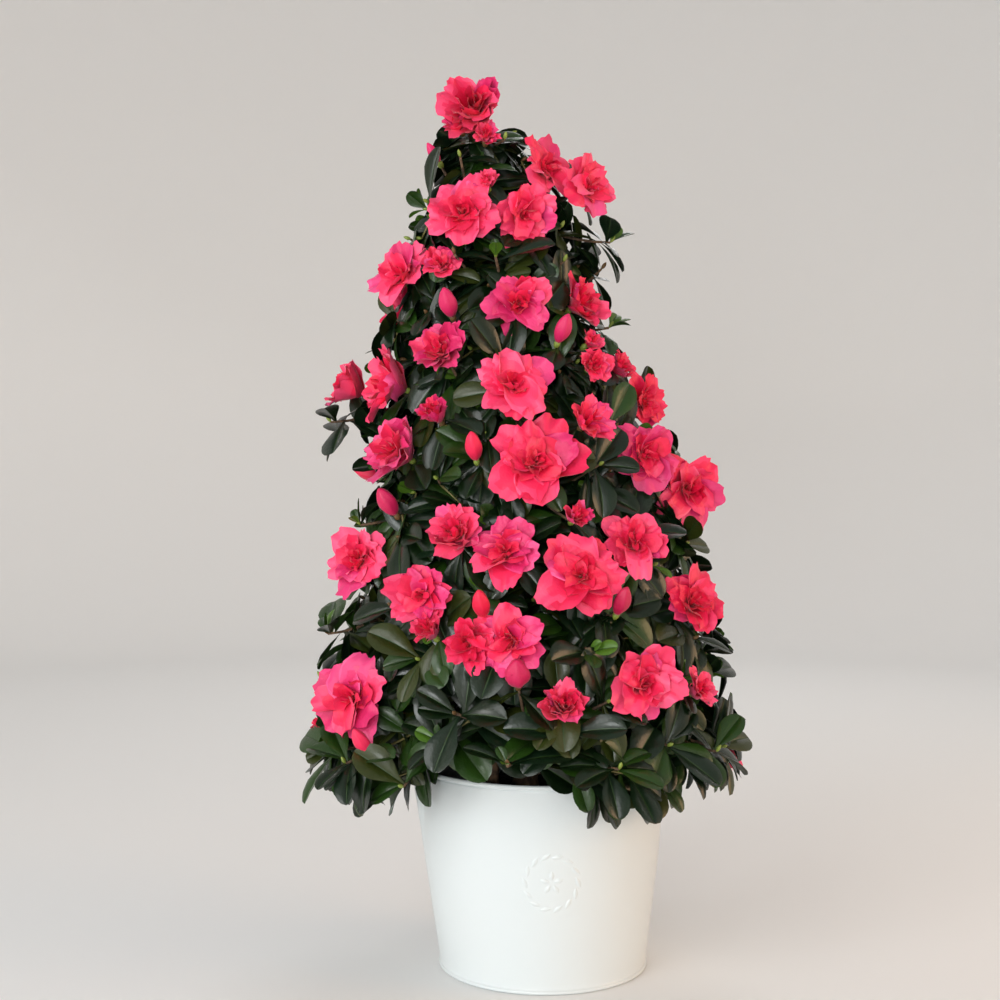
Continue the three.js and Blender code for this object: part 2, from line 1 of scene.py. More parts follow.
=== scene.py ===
# %% [markdown]
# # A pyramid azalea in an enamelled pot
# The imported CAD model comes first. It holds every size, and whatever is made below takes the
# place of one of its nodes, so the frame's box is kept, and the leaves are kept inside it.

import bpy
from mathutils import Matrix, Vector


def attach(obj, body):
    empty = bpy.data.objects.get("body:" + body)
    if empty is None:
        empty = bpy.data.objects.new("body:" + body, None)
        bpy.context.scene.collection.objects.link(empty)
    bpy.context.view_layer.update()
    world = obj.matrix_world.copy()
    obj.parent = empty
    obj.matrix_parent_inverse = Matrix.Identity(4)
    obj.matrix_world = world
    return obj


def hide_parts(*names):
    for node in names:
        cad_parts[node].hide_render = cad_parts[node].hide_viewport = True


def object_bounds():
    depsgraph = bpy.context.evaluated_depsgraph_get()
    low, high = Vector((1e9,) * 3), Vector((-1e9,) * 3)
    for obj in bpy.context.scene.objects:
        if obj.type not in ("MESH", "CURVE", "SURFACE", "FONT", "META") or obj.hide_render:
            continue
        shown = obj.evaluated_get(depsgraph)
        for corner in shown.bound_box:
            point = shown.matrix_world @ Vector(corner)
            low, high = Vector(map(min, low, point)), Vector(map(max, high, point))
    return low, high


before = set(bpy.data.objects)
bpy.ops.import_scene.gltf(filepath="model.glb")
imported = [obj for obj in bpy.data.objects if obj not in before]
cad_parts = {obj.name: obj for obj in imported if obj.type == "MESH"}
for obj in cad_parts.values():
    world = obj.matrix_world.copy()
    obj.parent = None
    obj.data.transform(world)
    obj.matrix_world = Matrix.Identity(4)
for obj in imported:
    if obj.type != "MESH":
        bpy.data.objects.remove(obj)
cad_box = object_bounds()
print("CAD nodes:", len(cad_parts), "box:", [[round(v, 3) for v in corner] for corner in cad_box])

# %% [markdown]
# ## Sizes
# All sizes are in metres. A reader who learns Blender can change one of them and see what follows:
# the crown, the boughs and the twigs are worked out from these few values, as in the CAD source.
# Only the fold in the pot's lips is drawn a little sharper than there.

# %% Driving sizes
import math
from dataclasses import dataclass

import bpy
import numpy as np
from mathutils import Vector

MM = 0.001
POT_HEIGHT = 134 * MM
POT_FOOT_RADIUS = 69 * MM
POT_RIM_RADIUS = 77 * MM
LIP_OUT = 12.5 * MM
LIP_TURN = 10
LIP_WIDTH_AT_FOOT = 62
LIP_WIDTH_AT_RIM = 42
LIP_FALL = 1.4
FOLD_FOOT = 72 * MM
FOLD_WIDTH = 6
LEAST_FOLD = 2
FOLD_DEPTH = 0.6
SOIL_TOP = 117 * MM
PLANT_TOP = 608 * MM
CROWN_BOTTOM = 128 * MM
CROWN_RADIUS = 152 * MM
CROWN_POWER = 0.65
TRUNK_FOOT = -12 * MM
TRUNK_LEAN = -28 * MM
TRUNK_SWAY = 5 * MM
TRUNK_TOP = 548 * MM
TRUNK_RADIUS = 7 * MM
TRUNK_TIP_RADIUS = 1.9 * MM
ROOT_FLARE = 5 * MM
SIDE_STEM_SPREAD = 43 * MM
SIDE_STEM_RADIUS = 4 * MM
BOUGH_RADIUS = 3.4 * MM
STEM_RADIUS = 2.6 * MM
TWIG_RADIUS = 1.5 * MM
GOLDEN_ANGLE = 137.508
UP = np.array([0.0, 0.0, 1.0])

# %% [markdown]
# ## Small tools
# A plant is thousands of small sheets and tubes. Modifiers or particles could spread them, but an
# export drops instances, so each sheet is a grid of points in an array, and a pile gathers the
# grids until they become one mesh. Every face has four corners.


# %% Vectors and curves
def unit(vector):
    return vector / np.linalg.norm(vector)


def lerp(a, b, share):
    return a + (b - a) * share


def clamp(share):
    return min(max(share, 0), 1)


def axes_of(along, towards):
    """Rows: along, the way aside, and the way that lies nearest to towards."""
    along = unit(along)
    aside = unit(np.cross(towards, along))
    return np.stack([along, aside, np.cross(along, aside)])


def aside_of(facing, turn):
    """The way that points aside from facing, at a turn round it."""
    side = unit(np.cross(UP, facing))
    return math.cos(turn) * side + math.sin(turn) * np.cross(facing, side)


def round_points(radius, turn, height):
    """Points at a distance from the upright axis, at a turn round it and a height."""
    return np.stack(np.broadcast_arrays(radius * np.cos(turn), radius * np.sin(turn), height), -1)


def bezier(start, bend, end, steps):
    share = np.linspace(0, 1, steps + 1)[:, None]
    return (1 - share) ** 2 * start + 2 * share * (1 - share) * bend + share**2 * end


def grid_quads(rows, columns, ring=False):
    """The faces of a grid of points. In a ring, the last column joins the first."""
    row, column = np.mgrid[0 : rows - 1, 0 : columns if ring else columns - 1]
    here = row * columns + column
    aside = row * columns + (column + 1) % columns
    return np.stack([here, aside, aside + columns, here + columns], -1).reshape(-1, 4)


def cap_quads(first, sides, turned):
    """Faces that close a ring with an even number of sides."""
    faces = np.array([[0, k, k + 1, k + 2] for k in range(1, sides - 2, 2)]) + first
    return faces[:, ::-1] if turned else faces


def closed_quads(rings, sides):
    """The faces of a stack of rings that is closed at both ends."""
    ends = [cap_quads(0, sides, True), cap_quads((rings - 1) * sides, sides, False)]
    return np.concatenate([grid_quads(rings, sides, True)] + ends)


def tube(points, radii, sides):
    """A closed limb along points. radii holds one radius a ring, or one for each corner."""
    radii = np.broadcast_to(np.asarray(radii, float).reshape(len(points), -1), (len(points), sides))
    turns = 2 * np.pi * np.arange(sides) / sides
    ways = np.gradient(points, axis=0)
    across = np.array([1.0, 0.0, 0.0])
    rings = []
    for point, way, radius in zip(points, ways, radii):
        way = unit(way)
        if abs(across @ way) > 0.95:
            across = np.array([0.0, 1.0, 0.0])
        across = unit(across - (across @ way) * way)
        aside = np.cross(way, across)
        corner_ways = np.cos(turns)[:, None] * across + np.sin(turns)[:, None] * aside
        rings.append(point + radius[:, None] * corner_ways)
    return np.concatenate(rings), closed_quads(len(points), sides)


# %% Piles and pieces
class Pile:
    """Grids of points that wait to become one mesh, each face with the number of its tint."""

    def __init__(self):
        self.points, self.quads, self.tints, self.count = [], [], [], 0

    def add(self, points, quads, tint=0):
        self.points.append(points.reshape(-1, 3))
        self.quads.append(quads + self.count)
        self.tints.append(np.broadcast_to(tint, len(quads)))
        self.count += len(self.points[-1])

    def take(self, other):
        """Adds all that another pile holds."""
        self.points += other.points
        self.quads += [quads + self.count for quads in other.quads]
        self.tints += other.tints
        self.count += other.count


def make_mesh(name, pile, materials):
    points = np.concatenate(pile.points).astype(np.float32)
    quads = np.concatenate(pile.quads).astype(np.int32)
    mesh = bpy.data.meshes.new(name)
    mesh.vertices.add(len(points))
    mesh.vertices.foreach_set("co", points.ravel())
    mesh.loops.add(quads.size)
    mesh.loops.foreach_set("vertex_index", quads.ravel())
    mesh.polygons.add(len(quads))
    mesh.polygons.foreach_set("loop_start", np.arange(0, quads.size, 4, dtype=np.int32))
    for material in materials:
        mesh.materials.append(material)
    mesh.polygons.foreach_set("material_index", np.concatenate(pile.tints).astype(np.int32))
    mesh.update(calc_edges=True)
    mesh.shade_smooth()
    piece = bpy.data.objects.new(name, mesh)
    bpy.context.scene.collection.objects.link(piece)
    return piece


def make_piece(name, pile, materials, nodes=()):
    """One piece of the plant or pot, which stands for the CAD nodes that are named."""
    piece = make_mesh(name, pile, materials)
    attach(piece, "root")
    if nodes:
        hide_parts(*nodes)
    print(f"{name}: {2 * len(piece.data.polygons):,} triangles")


# %% [markdown]
# ## Finishes
# Each finish is one Principled shader. A plain colour would look like plastic, so noise in the
# object's own space varies the relief a little, and on bark and peat the colour too. Petals and
# leaves keep plain colours, because their tints are dealt out leaf by leaf, which an export can
# carry. A thin clear coat gives the enamel and the leathery leaves their gloss.


# %% A finish from a few numbers
def srgb(*levels):
    """A colour given as on a screen, from 0 to 255, as the linear values that a shader reads."""
    return tuple(((v / 255 + 0.055) / 1.055) ** 2.4 if v > 10 else v / 255 / 12.92 for v in levels) + (1.0,)


def finish(name, colour, roughness, grain=0, relief=0.0, darker=None, **sockets):
    """One Principled finish. grain is how fine its noise is, in waves a metre, and relief its depth."""
    material = bpy.data.materials.new(name)
    material.use_nodes = True
    nodes, links = material.node_tree.nodes, material.node_tree.links
    shader = nodes["Principled BSDF"]
    shader.inputs["Base Color"].default_value = colour
    shader.inputs["Roughness"].default_value = roughness
    for socket, value in sockets.items():
        shader.inputs[socket.replace("_", " ")].default_value = value
    if grain:
        place = nodes.new("ShaderNodeTexCoord")
        noise = nodes.new("ShaderNodeTexNoise")
        noise.inputs["Scale"].default_value = grain
        noise.inputs["Detail"].default_value = 4
        links.new(place.outputs["Object"], noise.inputs["Vector"])
        if relief:
            bump = nodes.new("ShaderNodeBump")
            bump.inputs["Distance"].default_value = relief
            links.new(noise.outputs["Fac"], bump.inputs["Height"])
            links.new(bump.outputs["Normal"], shader.inputs["Normal"])
        if darker:
            ramp = nodes.new("ShaderNodeValToRGB")
            ramp.color_ramp.elements[0].position = 0.35
            ramp.color_ramp.elements[0].color = darker
            ramp.color_ramp.elements[1].position = 0.65
            ramp.color_ramp.elements[1].color = colour
            links.new(noise.outputs["Fac"], ramp.inputs["Fac"])
            links.new(ramp.outputs["Color"], shader.inputs["Base Color"])
    return material


# %% The pot's, soil's and wood's finishes
enamel = finish("cream_enamel", srgb(220, 227, 228), 0.3, 45, 0.0004, Coat_Weight=0.25, Coat_Roughness=0.14)
peat = finish("dark_peat", srgb(52, 38, 30), 0.95, 420, 0.002, darker=srgb(20, 14, 11))
bark = finish("azalea_bark", srgb(118, 92, 68), 0.85, 260, 0.0008, darker=srgb(62, 46, 36))
green_twig = finish("young_twig", srgb(112, 104, 58), 0.6, 500, 0.0003)

# %% The leaves' tints
LEAF_GLOSS = {"Specular_IOR_Level": 0.4, "Coat_Weight": 0.22, "Coat_Roughness": 0.16}
LEAF_TINTS = [
    finish("leaf_" + name, srgb(*colour), roughness, 600, 0.0002, **LEAF_GLOSS)
    for name, colour, roughness in (
        ("deep", (12, 29, 9), 0.3),
        ("blue_green", (16, 34, 18), 0.33),
        ("green", (33, 61, 14), 0.37),
        ("olive", (46, 55, 13), 0.42),
        ("young", (72, 108, 26), 0.46),
        ("rib", (38, 62, 24), 0.46),
    )
]
DEEP, BLUE_GREEN, GREEN, OLIVE, YOUNG, RIB = range(6)

# %% [markdown]
# The petals go from a deep red heart to a pale pink margin. A gradient along each petal could be
# painted by a texture, but here it is a ramp of plain tints, a step for each row of faces.

# %% The petals' tints
CORAL_KEYS = np.array([(172, 1, 28), (206, 6, 47), (228, 16, 66), (240, 34, 86), (252, 80, 126)], float)
# Painted shade: the magenta ramp is a darker, bluer copy of the coral one. It stands in for the look of
# shaded, backlit petals.
SHADED_MAGENTA_KEYS = np.array([(148, 1, 38), (180, 7, 60), (202, 18, 82), (220, 36, 104), (240, 78, 138)], float)
PETAL_STEPS = 9
PETAL_SHEEN = {"Sheen_Weight": 0.12, "Sheen_Roughness": 0.4}


def petal_colour(keys, step):
    place = step * (len(keys) - 1) / (PETAL_STEPS - 1)
    low = min(int(place), len(keys) - 2)
    return srgb(*lerp(keys[low], keys[low + 1], place - low))


PETAL_TINTS = [
    finish(f"{name}_petal_{step}", petal_colour(keys, step), 0.5, 700, 0.0002, **PETAL_SHEEN)
    for name, keys in (("coral", CORAL_KEYS), ("shaded_magenta", SHADED_MAGENTA_KEYS))
    for step in range(PETAL_STEPS)
]
calyx_green = finish("calyx_green", srgb(128, 146, 60), 0.5)
scale_brown = finish("bud_scale", srgb(104, 76, 42), 0.6)
print("finishes:", len(bpy.data.materials))

# %% [markdown]
# ## The crown's rule
# The shrub is clipped to a pyramid: a centre line that leans with the trunk, and a reach that
# shrinks upwards. A bearing of 0 is the front and 90 the right. The same few functions and the same
# seeded dice place every shoot where the CAD source places it.


# %% The crown's form
def centre_at(height):
    share = clamp((height - SOIL_TOP) / (PLANT_TOP - SOIL_TOP))
    sway = TRUNK_SWAY * math.sin(share * math.pi * 2)
    return np.array([TRUNK_FOOT + TRUNK_LEAN * share**1.3 + sway, -0.6 * sway, height])


def crown_share(height):
    """How far up the crown a height is, from 0 at its hem to 1 at its top."""
    return (height - CROWN_BOTTOM) / (PLANT_TOP - CROWN_BOTTOM)


def reach_at(height):
    return CROWN_RADIUS * (1 - clamp(crown_share(height))) ** CROWN_POWER


def outwards(bearing, lift):
    turn = math.radians(bearing)
    return unit(np.array([math.sin(turn), -math.cos(turn), lift]))


def on_crown(bearing, height, share):
    return centre_at(height) + outwards(bearing, 0) * reach_at(height) * share


def bearing_of(point):
    centre = centre_at(point[2])
    return math.degrees(math.atan2(point[0] - centre[0], centre[1] - point[1]))


# %% [markdown]
# The blooms of the front have places of their own: how far right of the pot's axis and how high,
# in millimetres on the plane through that axis, the bloom's width, and how far it has opened, from
# 0 for a tight bud to 1. A width of 0 is a leafy shoot. The sight line to each is followed from the
# camera to where it meets the crown.

# %% Where the front's blooms stand
EYE = np.array([-29, -972, 313]) * MM
FRONT_SHOOTS = [
    (-46, 582, 50, 0.45), (-60, 568, 20, 0.4), (-39, 561, 19, 0.4), (-72, 545, 7, 0.08),
    (1, 538, 48, 0.9), (30, 526, 50, 0.85), (-54, 508, 52, 0.95), (-14, 510, 46, 0.75),
    (-37, 529, 17, 0.4), (-97, 466, 46, 0.8), (-72, 471, 27, 0.65), (-16, 449, 44, 0.8),
    (26, 445, 37, 0.55), (-63, 443, 12, 0.08), (-68, 413, 38, 0.6), (12, 425, 11, 0.08),
    (33, 421, 17, 0.4), (34, 404, 26, 0.6), (53, 403, 23, 0.5), (-104, 392, 46, 0.52),
    (-132, 388, 40, 0.52), (-21, 390, 54, 1), (-73, 372, 21, 0.3), (32, 368, 31, 0.4),
    (68, 380, 40, 0.75), (-100, 344, 46, 0.52), (-5, 339, 60, 1), (70, 343, 50, 0.95),
    (101, 322, 54, 0.85), (-46, 345, 11, 0.05), (-103, 308, 12, 0.1), (-125, 272, 50, 0.9),
    (-60, 290, 36, 0.5), (-25, 276, 46, 0.9), (27, 261, 58, 1), (64, 281, 46, 0.7),
    (22, 302, 19, 0.4), (102, 242, 48, 0.85), (-83, 249, 44, 0.8), (-77, 225, 22, 0.3),
    (-51, 218, 34, 0.6), (-19, 218, 48, 0.9), (-17, 193, 16, 0.1), (-41, 238, 11, 0.05),
    (-129, 179, 58, 0.95), (69, 191, 50, 0.75), (107, 183, 26, 0.5), (15, 173, 30, 0.35),
    (-120, 144, 10, 0.05), (52, 240, 11, 0.05), (-150, 162, 14, 0.3),
    (-144, 366, 0, 0), (-124, 296, 0, 0), (-146, 222, 0, 0), (-150, 192, 0, 0), (-134, 134, 0, 0),
    (118, 142, 0, 0), (40, 470, 0, 0), (45, 430, 0, 0), (-60, 480, 0, 0), (-24, 132, 0, 0),
    (52, 130, 0, 0), (-56, 546, 0, 0), (-26, 558, 0, 0), (12, 498, 0, 0), (-32, 478, 0, 0),
    (14, 475, 0, 0), (46, 488, 0, 0),
]
FRONT_LIFT = 0.22
HALF_OPEN = 0.55
HALF_OPEN_LIFT = 2.2
FRONT_TURN = 0.5
FRONT_REACH = 0.955
BUD_OPENING = 0.22


@dataclass
class Shoot:
    """The end of a twig: where it is, the way it faces, and its bloom, if it has one."""

    place: np.ndarray
    facing: np.ndarray
    width: float = 0.0
    opening: float = 0.0
    twig: np.ndarray = None
    leaves: int = 0


def bloom_rise(width, opening):
    """How far a bloom's face stands before its seat. The wider it has opened, the flatter it is."""
    if opening < BUD_OPENING:
        return 0.8 * width
    return 0.5 * width / math.tan(math.radians(20 + 52 * opening))


def sighted(across, height):
    """Where the sight line through a place of the photo meets the crown or passes nearest to it."""
    line = np.array([across, 0, height]) - EYE
    best, least = None, math.inf
    for step in range(81):
        point = EYE + line * (0.8 + 0.0025 * step)
        centre = centre_at(point[2])
        beyond = math.dist(point[:2], centre[:2]) - reach_at(point[2]) * FRONT_REACH
        if beyond < least:
            best, least = point, beyond
        if beyond <= 0:
            break
    return best


# %% How the other shoots are dealt out
SHOOTS = 134
RIM_SHOOTS = 12
BLOOM_SHARE = 0.62
BUD_SHARE = 0.22
BUD_WIDTH = 11 * MM
LEAST_BLOOM, BLOOM_MORE = 38, 16
FRONT_ARC = 98
SHOOT_SPACING = 25 * MM
BLOOM_ROOM = 9 * MM


def dice_from(seed):
    """A seeded dice: the same seed always throws the same numbers from 0 to 1."""
    state = (seed * 7919 + 12345) % 2**32
    while True:
        state = (state * 1664525 + 1013904223) % 2**32
        yield state / 2**32


def deal_shoots():
    shoots = []
    for across, height, width, opening in FRONT_SHOOTS:
        place = sighted(across * MM, height * MM)
        lift = FRONT_LIFT + HALF_OPEN_LIFT * max(0, HALF_OPEN - opening)
        turned = FRONT_TURN if opening > HALF_OPEN else 1
        facing = outwards(bearing_of(place) * turned, lift)
        place = place + facing * 0.4 * bloom_rise(width * MM, opening)
        shoots.append(Shoot(place, facing, width * MM, opening))
    throw = dice_from(11).__next__
    for k in range(SHOOTS):
        share = 1 - (1 - (k + 0.5) / SHOOTS) ** (1 / (1 + CROWN_POWER))
        height = CROWN_BOTTOM + 8 * MM + (PLANT_TOP - CROWN_BOTTOM - 14 * MM) * share
        bearing = (k * GOLDEN_ANGLE + 14 * throw()) % 360 - 180
        blooms = abs(bearing) > FRONT_ARC and throw() < BLOOM_SHARE
        opening = 0.1 if throw() < BUD_SHARE else 0.55 + 0.45 * throw()
        width = BUD_WIDTH if opening < BUD_OPENING else (LEAST_BLOOM + BLOOM_MORE * throw()) * MM
        place = on_crown(bearing, height, 0.99 if blooms else 0.86 + 0.1 * throw())
        room = SHOOT_SPACING + (BLOOM_ROOM if blooms else 0)
        if any(math.dist(other.place, place) < room for other in shoots):
            continue
        shoots.append(Shoot(place, outwards(bearing, 0.35), width * blooms, opening * blooms))
    for k in range(RIM_SHOOTS):
        bearing = 360 * (k + 0.5 * throw()) / RIM_SHOOTS
        place = on_crown(bearing, (142 + 10 * throw()) * MM, 0.62)
        shoots.append(Shoot(place, outwards(bearing, -0.1)))
    return shoots


shoots = deal_shoots()
print("shoots:", len(shoots), "of them in bloom or bud:", sum(shoot.width > 0 for shoot in shoots))

# %% [markdown]
# ## Limbs
# The trunk runs up through the crown, three side stems rise beside it, and boughs carry the
# masses of the lower tiers. Each mass has one stem. These are the CAD source's tiers again.


# %% Boughs and stems of each mass
@dataclass
class Mass:
    """One mass of foliage: its name, its middle, the points of its bough and stem, and its limb."""

    name: str
    anchor: np.ndarray
    bough: np.ndarray
    stem: np.ndarray
    limb: str


TIERS = [
    # name, height, number of masses, bearing of the first, and whether limbs carry them
    ("skirt", 172 * MM, 6, 0, True),
    ("lower", 246 * MM, 6, -30, True),
    ("middle", 320 * MM, 5, 10, True),
    ("upper", 390 * MM, 5, -26, True),
    ("shoulder", 452 * MM, 4, 20, False),
    ("neck", 512 * MM, 3, -40, False),
    ("tip", 566 * MM, 1, 0, False),
]
STAGGER = 6 * MM
TIP_STEM_TOP = 572 * MM


def bough_points(height, bearing, drop, side_stem):
    end = on_crown(bearing, height - 10 * MM, 0.4)
    if side_stem:
        foot = centre_at(SOIL_TOP) + outwards(bearing, 0) * SIDE_STEM_SPREAD
        return bezier(foot, foot + UP * 0.6 * (end[2] - foot[2]), end, 14)
    fork = centre_at(height - 14 * MM - drop)
    return bezier(fork, fork + outwards(bearing, 0.25) * 0.6 * math.dist(fork, end), end, 10)


def plot_masses():
    masses = []
    for tier, height, count, first, has_boughs in TIERS:
        for index in range(count):
            bearing = first + 360 * index / count
            name = f"{tier}_foliage" + (f"_{index + 1}" if count > 1 else "")
            anchor = on_crown(bearing, height, 0.8 if count > 1 else 0)
            drop = STAGGER * (index * (count - 1) % count)
            side_stem = tier == "lower" and index % 2 == 0
            bough, limb = None, ""
            if has_boughs:
                bough = bough_points(height, bearing, drop, side_stem)
                limb = f"{tier}_{'side_stem' if side_stem else 'bough'}_{index + 1}"
                start, way = bough[-1], unit(bough[-1] - bough[-2])
                end = lerp(start, anchor, 0.8)
                middle = start + way * 0.3 * math.dist(start, end)
            elif count > 1:
                start = centre_at(height - 8 * MM - drop)
                end = lerp(start, anchor, 0.8)
                middle = lerp(start, end, 0.3)
            else:
                start, end = centre_at(TRUNK_TOP), centre_at(TIP_STEM_TOP)
                middle = lerp(start, end, 0.3)
            masses.append(Mass(name, anchor, bough, np.stack([start, middle, end]), limb))
    return masses


masses = plot_masses()
foliage_nodes = [mass.name for mass in masses]
print("masses:", len(masses), "boughs and side stems:", sum(mass.bough is not None for mass in masses))

# %% [markdown]
# Azalea bark is grey-brown, with shallow ridges along the limb. Displacement in the material would
# not show in the mesh, so the relief is in the radius of each ring: ridges round the limb that
# drift as they climb, and small knots.


# %% The bark
BARK_DEPTH = 0.055


def barked(points, radii, sides, rng):
    """A limb whose rings carry the bark's ridges and knots."""
    turns = 2 * np.pi * np.arange(sides) / sides
    length = np.concatenate([[0], np.cumsum(np.linalg.norm(np.diff(points, axis=0), axis=1))])[:, None]
    broad = np.sin(5 * turns + 40 * length + 3 * np.sin(70 * length))
    narrow = np.sin(9 * turns - 110 * length)
    ridges = 0.6 * broad + 0.4 * narrow
    knots = rng.normal(0, 0.35, ridges.shape)
    return tube(points, np.asarray(radii)[:, None] * (1 + BARK_DEPTH * (ridges + knots)), sides)


def trunk_points(steps):
    share = np.linspace(0, 1, steps + 1)
    heights = SOIL_TOP - 1.5 * MM + (TRUNK_TOP - SOIL_TOP) * share**1.35
    points = np.stack([centre_at(height) for height in heights])
    radii = lerp(TRUNK_RADIUS, TRUNK_TIP_RADIUS, share**0.8) + ROOT_FLARE * np.exp(-share * 14)
    return points, radii


rng = np.random.default_rng(3)
limbs = Pile()
limbs.add(*barked(*trunk_points(150), 16, rng))
for mass in masses:
    if mass.bough is not None:
        share = np.linspace(0, 1, 41)
        at = share * (len(mass.bough) - 1)
        fine = np.stack([np.interp(at, np.arange(len(mass.bough)), axis) for axis in mass.bough.T], -1)
        thick = SIDE_STEM_RADIUS if "side_stem" in mass.limb else BOUGH_RADIUS
        limbs.add(*barked(fine, lerp(thick, STEM_RADIUS, share), 12, rng))
make_piece("bark_limbs", limbs, [bark], ["trunk"] + [mass.limb for mass in masses if mass.limb])

# %% [markdown]
# ## Twigs
# Each shoot goes to the mass whose anchor lies nearest, and its twig curves out from that mass's
# stem. Then finer shoots are dealt out in the space that is left, a little inside the crown's
# reach, and each of them branches from the nearest twig that is already there.


# %% The source's twigs
def nearest_mass(shoot):
    return min(range(len(masses)), key=lambda i: math.dist(masses[i].anchor, shoot.place))


def along_stem(mass, shoot):
    return (shoot.place - mass.stem[0]) @ (mass.stem[2] - mass.stem[0])


def twig_to(mass, shoot, share):
    """The twig of one shoot, from its share of the way along the mass's stem to its seat."""
    seat = shoot.place - shoot.facing * (bloom_rise(shoot.width, shoot.opening) if shoot.width else 0)
    start, middle, tip = mass.stem
    root = lerp(middle, tip, 0.95 * share)
    reach = math.dist(root, seat)
    bend = root + unit(tip - middle) * 0.05 * reach
    bend = lerp(bend, seat - shoot.facing * 0.35 * reach, 0.5)
    return bezier(root, bend, seat, 6)


twigs = Pile()
OLD_WOOD, GREEN_WOOD = range(2)
homes = [nearest_mass(shoot) for shoot in shoots]
for number, mass in enumerate(masses):
    start, middle, tip = mass.stem
    curve = bezier(start, lerp(start, middle, 0.9), middle, 3)
    stem = np.concatenate([curve, [lerp(middle, tip, 0.5), tip]])
    twigs.add(*tube(stem, np.linspace(1, 0.7, len(stem)) * STEM_RADIUS, 8), OLD_WOOD)
    own = [shoot for shoot, home in zip(shoots, homes) if home == number]
    own.sort(key=lambda one: along_stem(mass, one))
    for place, shoot in enumerate(own):
        shoot.twig = twig_to(mass, shoot, (place + 0.5) / len(own))

# %% [markdown]
# A bloom pushes leaves aside, so a finer shoot or a leaf is only kept where no bloom's cup is and
# where it doesn't hide a bloom's face. The pot's rim is kept clear in the same way.

# %% The room that blooms and the pot take
blooms = [shoot for shoot in shoots if shoot.width > 0]
BLOOM_SEATS = np.stack([shoot.twig[-1] for shoot in blooms])
BLOOM_WAYS = np.stack([shoot.facing for shoot in blooms])
BLOOM_HALVES = np.array([0.5 * shoot.width for shoot in blooms])
BLOOM_RISES = np.array([bloom_rise(shoot.width, shoot.opening) for shoot in blooms])
FACE_ROOM = 30 * MM
CUP_ROOM = 3.5 * MM


def lip_widths(height):
    """Half the width of a lip and of the sharp fold in it, in degrees, and the fold's depth."""
    deep = np.clip((height - FOLD_FOOT) / (POT_HEIGHT - FOLD_FOOT), 0, 1)
    width = lerp(LIP_WIDTH_AT_FOOT, LIP_WIDTH_AT_RIM, height / POT_HEIGHT)
    return width, lerp(LEAST_FOLD, FOLD_WIDTH, deep), FOLD_DEPTH * deep


def pot_radius(turn, height):
    """The pot's outline in plan: a circle with a lip on either side, which is folded near the rim."""
    from_lip = abs((turn - LIP_TURN + 90) % 180 - 90)
    width, fold, depth = lip_widths(height)
    folded = 1 - depth * np.minimum(1, from_lip / fold)
    fall = np.clip((from_lip - fold) / (width - fold), 0, 1)
    share = height / POT_HEIGHT
    lobe = folded * (1 - fall) ** LIP_FALL
    return POT_FOOT_RADIUS + (POT_RIM_RADIUS - POT_FOOT_RADIUS) * share + LIP_OUT * share * lobe


def in_a_bloom(points):
    """True if any of the points lies in a bloom's cup or before its face."""
    apart = points[:, None] - BLOOM_SEATS
    ahead = np.einsum("pbk,bk->pb", apart, BLOOM_WAYS)
    aside = np.sqrt(np.maximum((apart**2).sum(-1) - ahead**2, 0))
    cup = BLOOM_RISES * aside / BLOOM_HALVES - CUP_ROOM
    return bool(((aside < BLOOM_HALVES + 1 * MM) & (ahead > cup) & (ahead < BLOOM_RISES + FACE_ROOM)).any())


def at_the_pot(points):
    turn = np.degrees(np.arctan2(points[:, 1], points[:, 0]))
    inside = np.hypot(points[:, 0], points[:, 1]) - pot_radius(turn, np.clip(points[:, 2], 0, POT_HEIGHT))
    low = points[:, 2] < POT_HEIGHT + 3 * MM
    return bool((low & (inside < 3 * MM) & ((inside > -5 * MM) | (points[:, 2] < SOIL_TOP + 4 * MM))).any())


# %% Finer shoots in the space that is left
FINE_SHOOTS = 560
FINE_SPACING = 17 * MM
FINE_HEM = 160 * MM
OPEN_HEM_FROM, OPEN_HEM_TO = -46, 17


def deal_fine_shoots():
    rng = np.random.default_rng(23)
    stems = np.concatenate([shoot.twig[2:-1] for shoot in shoots])
    ways = np.concatenate([np.diff(shoot.twig, axis=0)[2:] for shoot in shoots])
    ends = [shoot.place for shoot in shoots]
    made = []
    for k in range(FINE_SHOOTS):
        share = 1 - (1 - (k + 0.5) / FINE_SHOOTS) ** (1 / (1 + CROWN_POWER))
        height = CROWN_BOTTOM + 6 * MM + (PLANT_TOP - CROWN_BOTTOM - 22 * MM) * share
        bearing = k * GOLDEN_ANGLE + rng.uniform(0, 20)
        place = on_crown(bearing, height, rng.uniform(0.5, 0.88))
        facing = outwards(bearing + rng.normal(0, 18), rng.uniform(0, 0.6))
        if np.linalg.norm(np.stack(ends) - place, axis=1).min() < FINE_SPACING or in_a_bloom(place[None]):
            continue
        if height < FINE_HEM and OPEN_HEM_FROM < bearing_of(place) < OPEN_HEM_TO:
            continue
        gaps = np.linalg.norm(stems - place, axis=1)
        nearest = gaps.argmin()
        root, reach = stems[nearest], gaps[nearest]
        bend = lerp(root + unit(ways[nearest]) * 0.3 * reach, place - facing * 0.4 * reach, 0.5)
        ends.append(place)
        made.append(Shoot(place, facing, twig=bezier(root, bend, place, 5)))
    return made


fine_shoots = deal_fine_shoots()
print("finer shoots:", len(fine_shoots))

# %% [markdown]
# ## Leaves
# An azalea leaf is a small oval, widest past its middle, on a short stalk, with a sunken rib and a
# tiny pale tip. One grid of points does for all: a curve gives its outline, the halves fold up
# from the rib, and the blade curls down along its length. The leaves stand in whorls at the ends
# of the shoots, the young ones upright in the middle and the old ones spread or hanging.

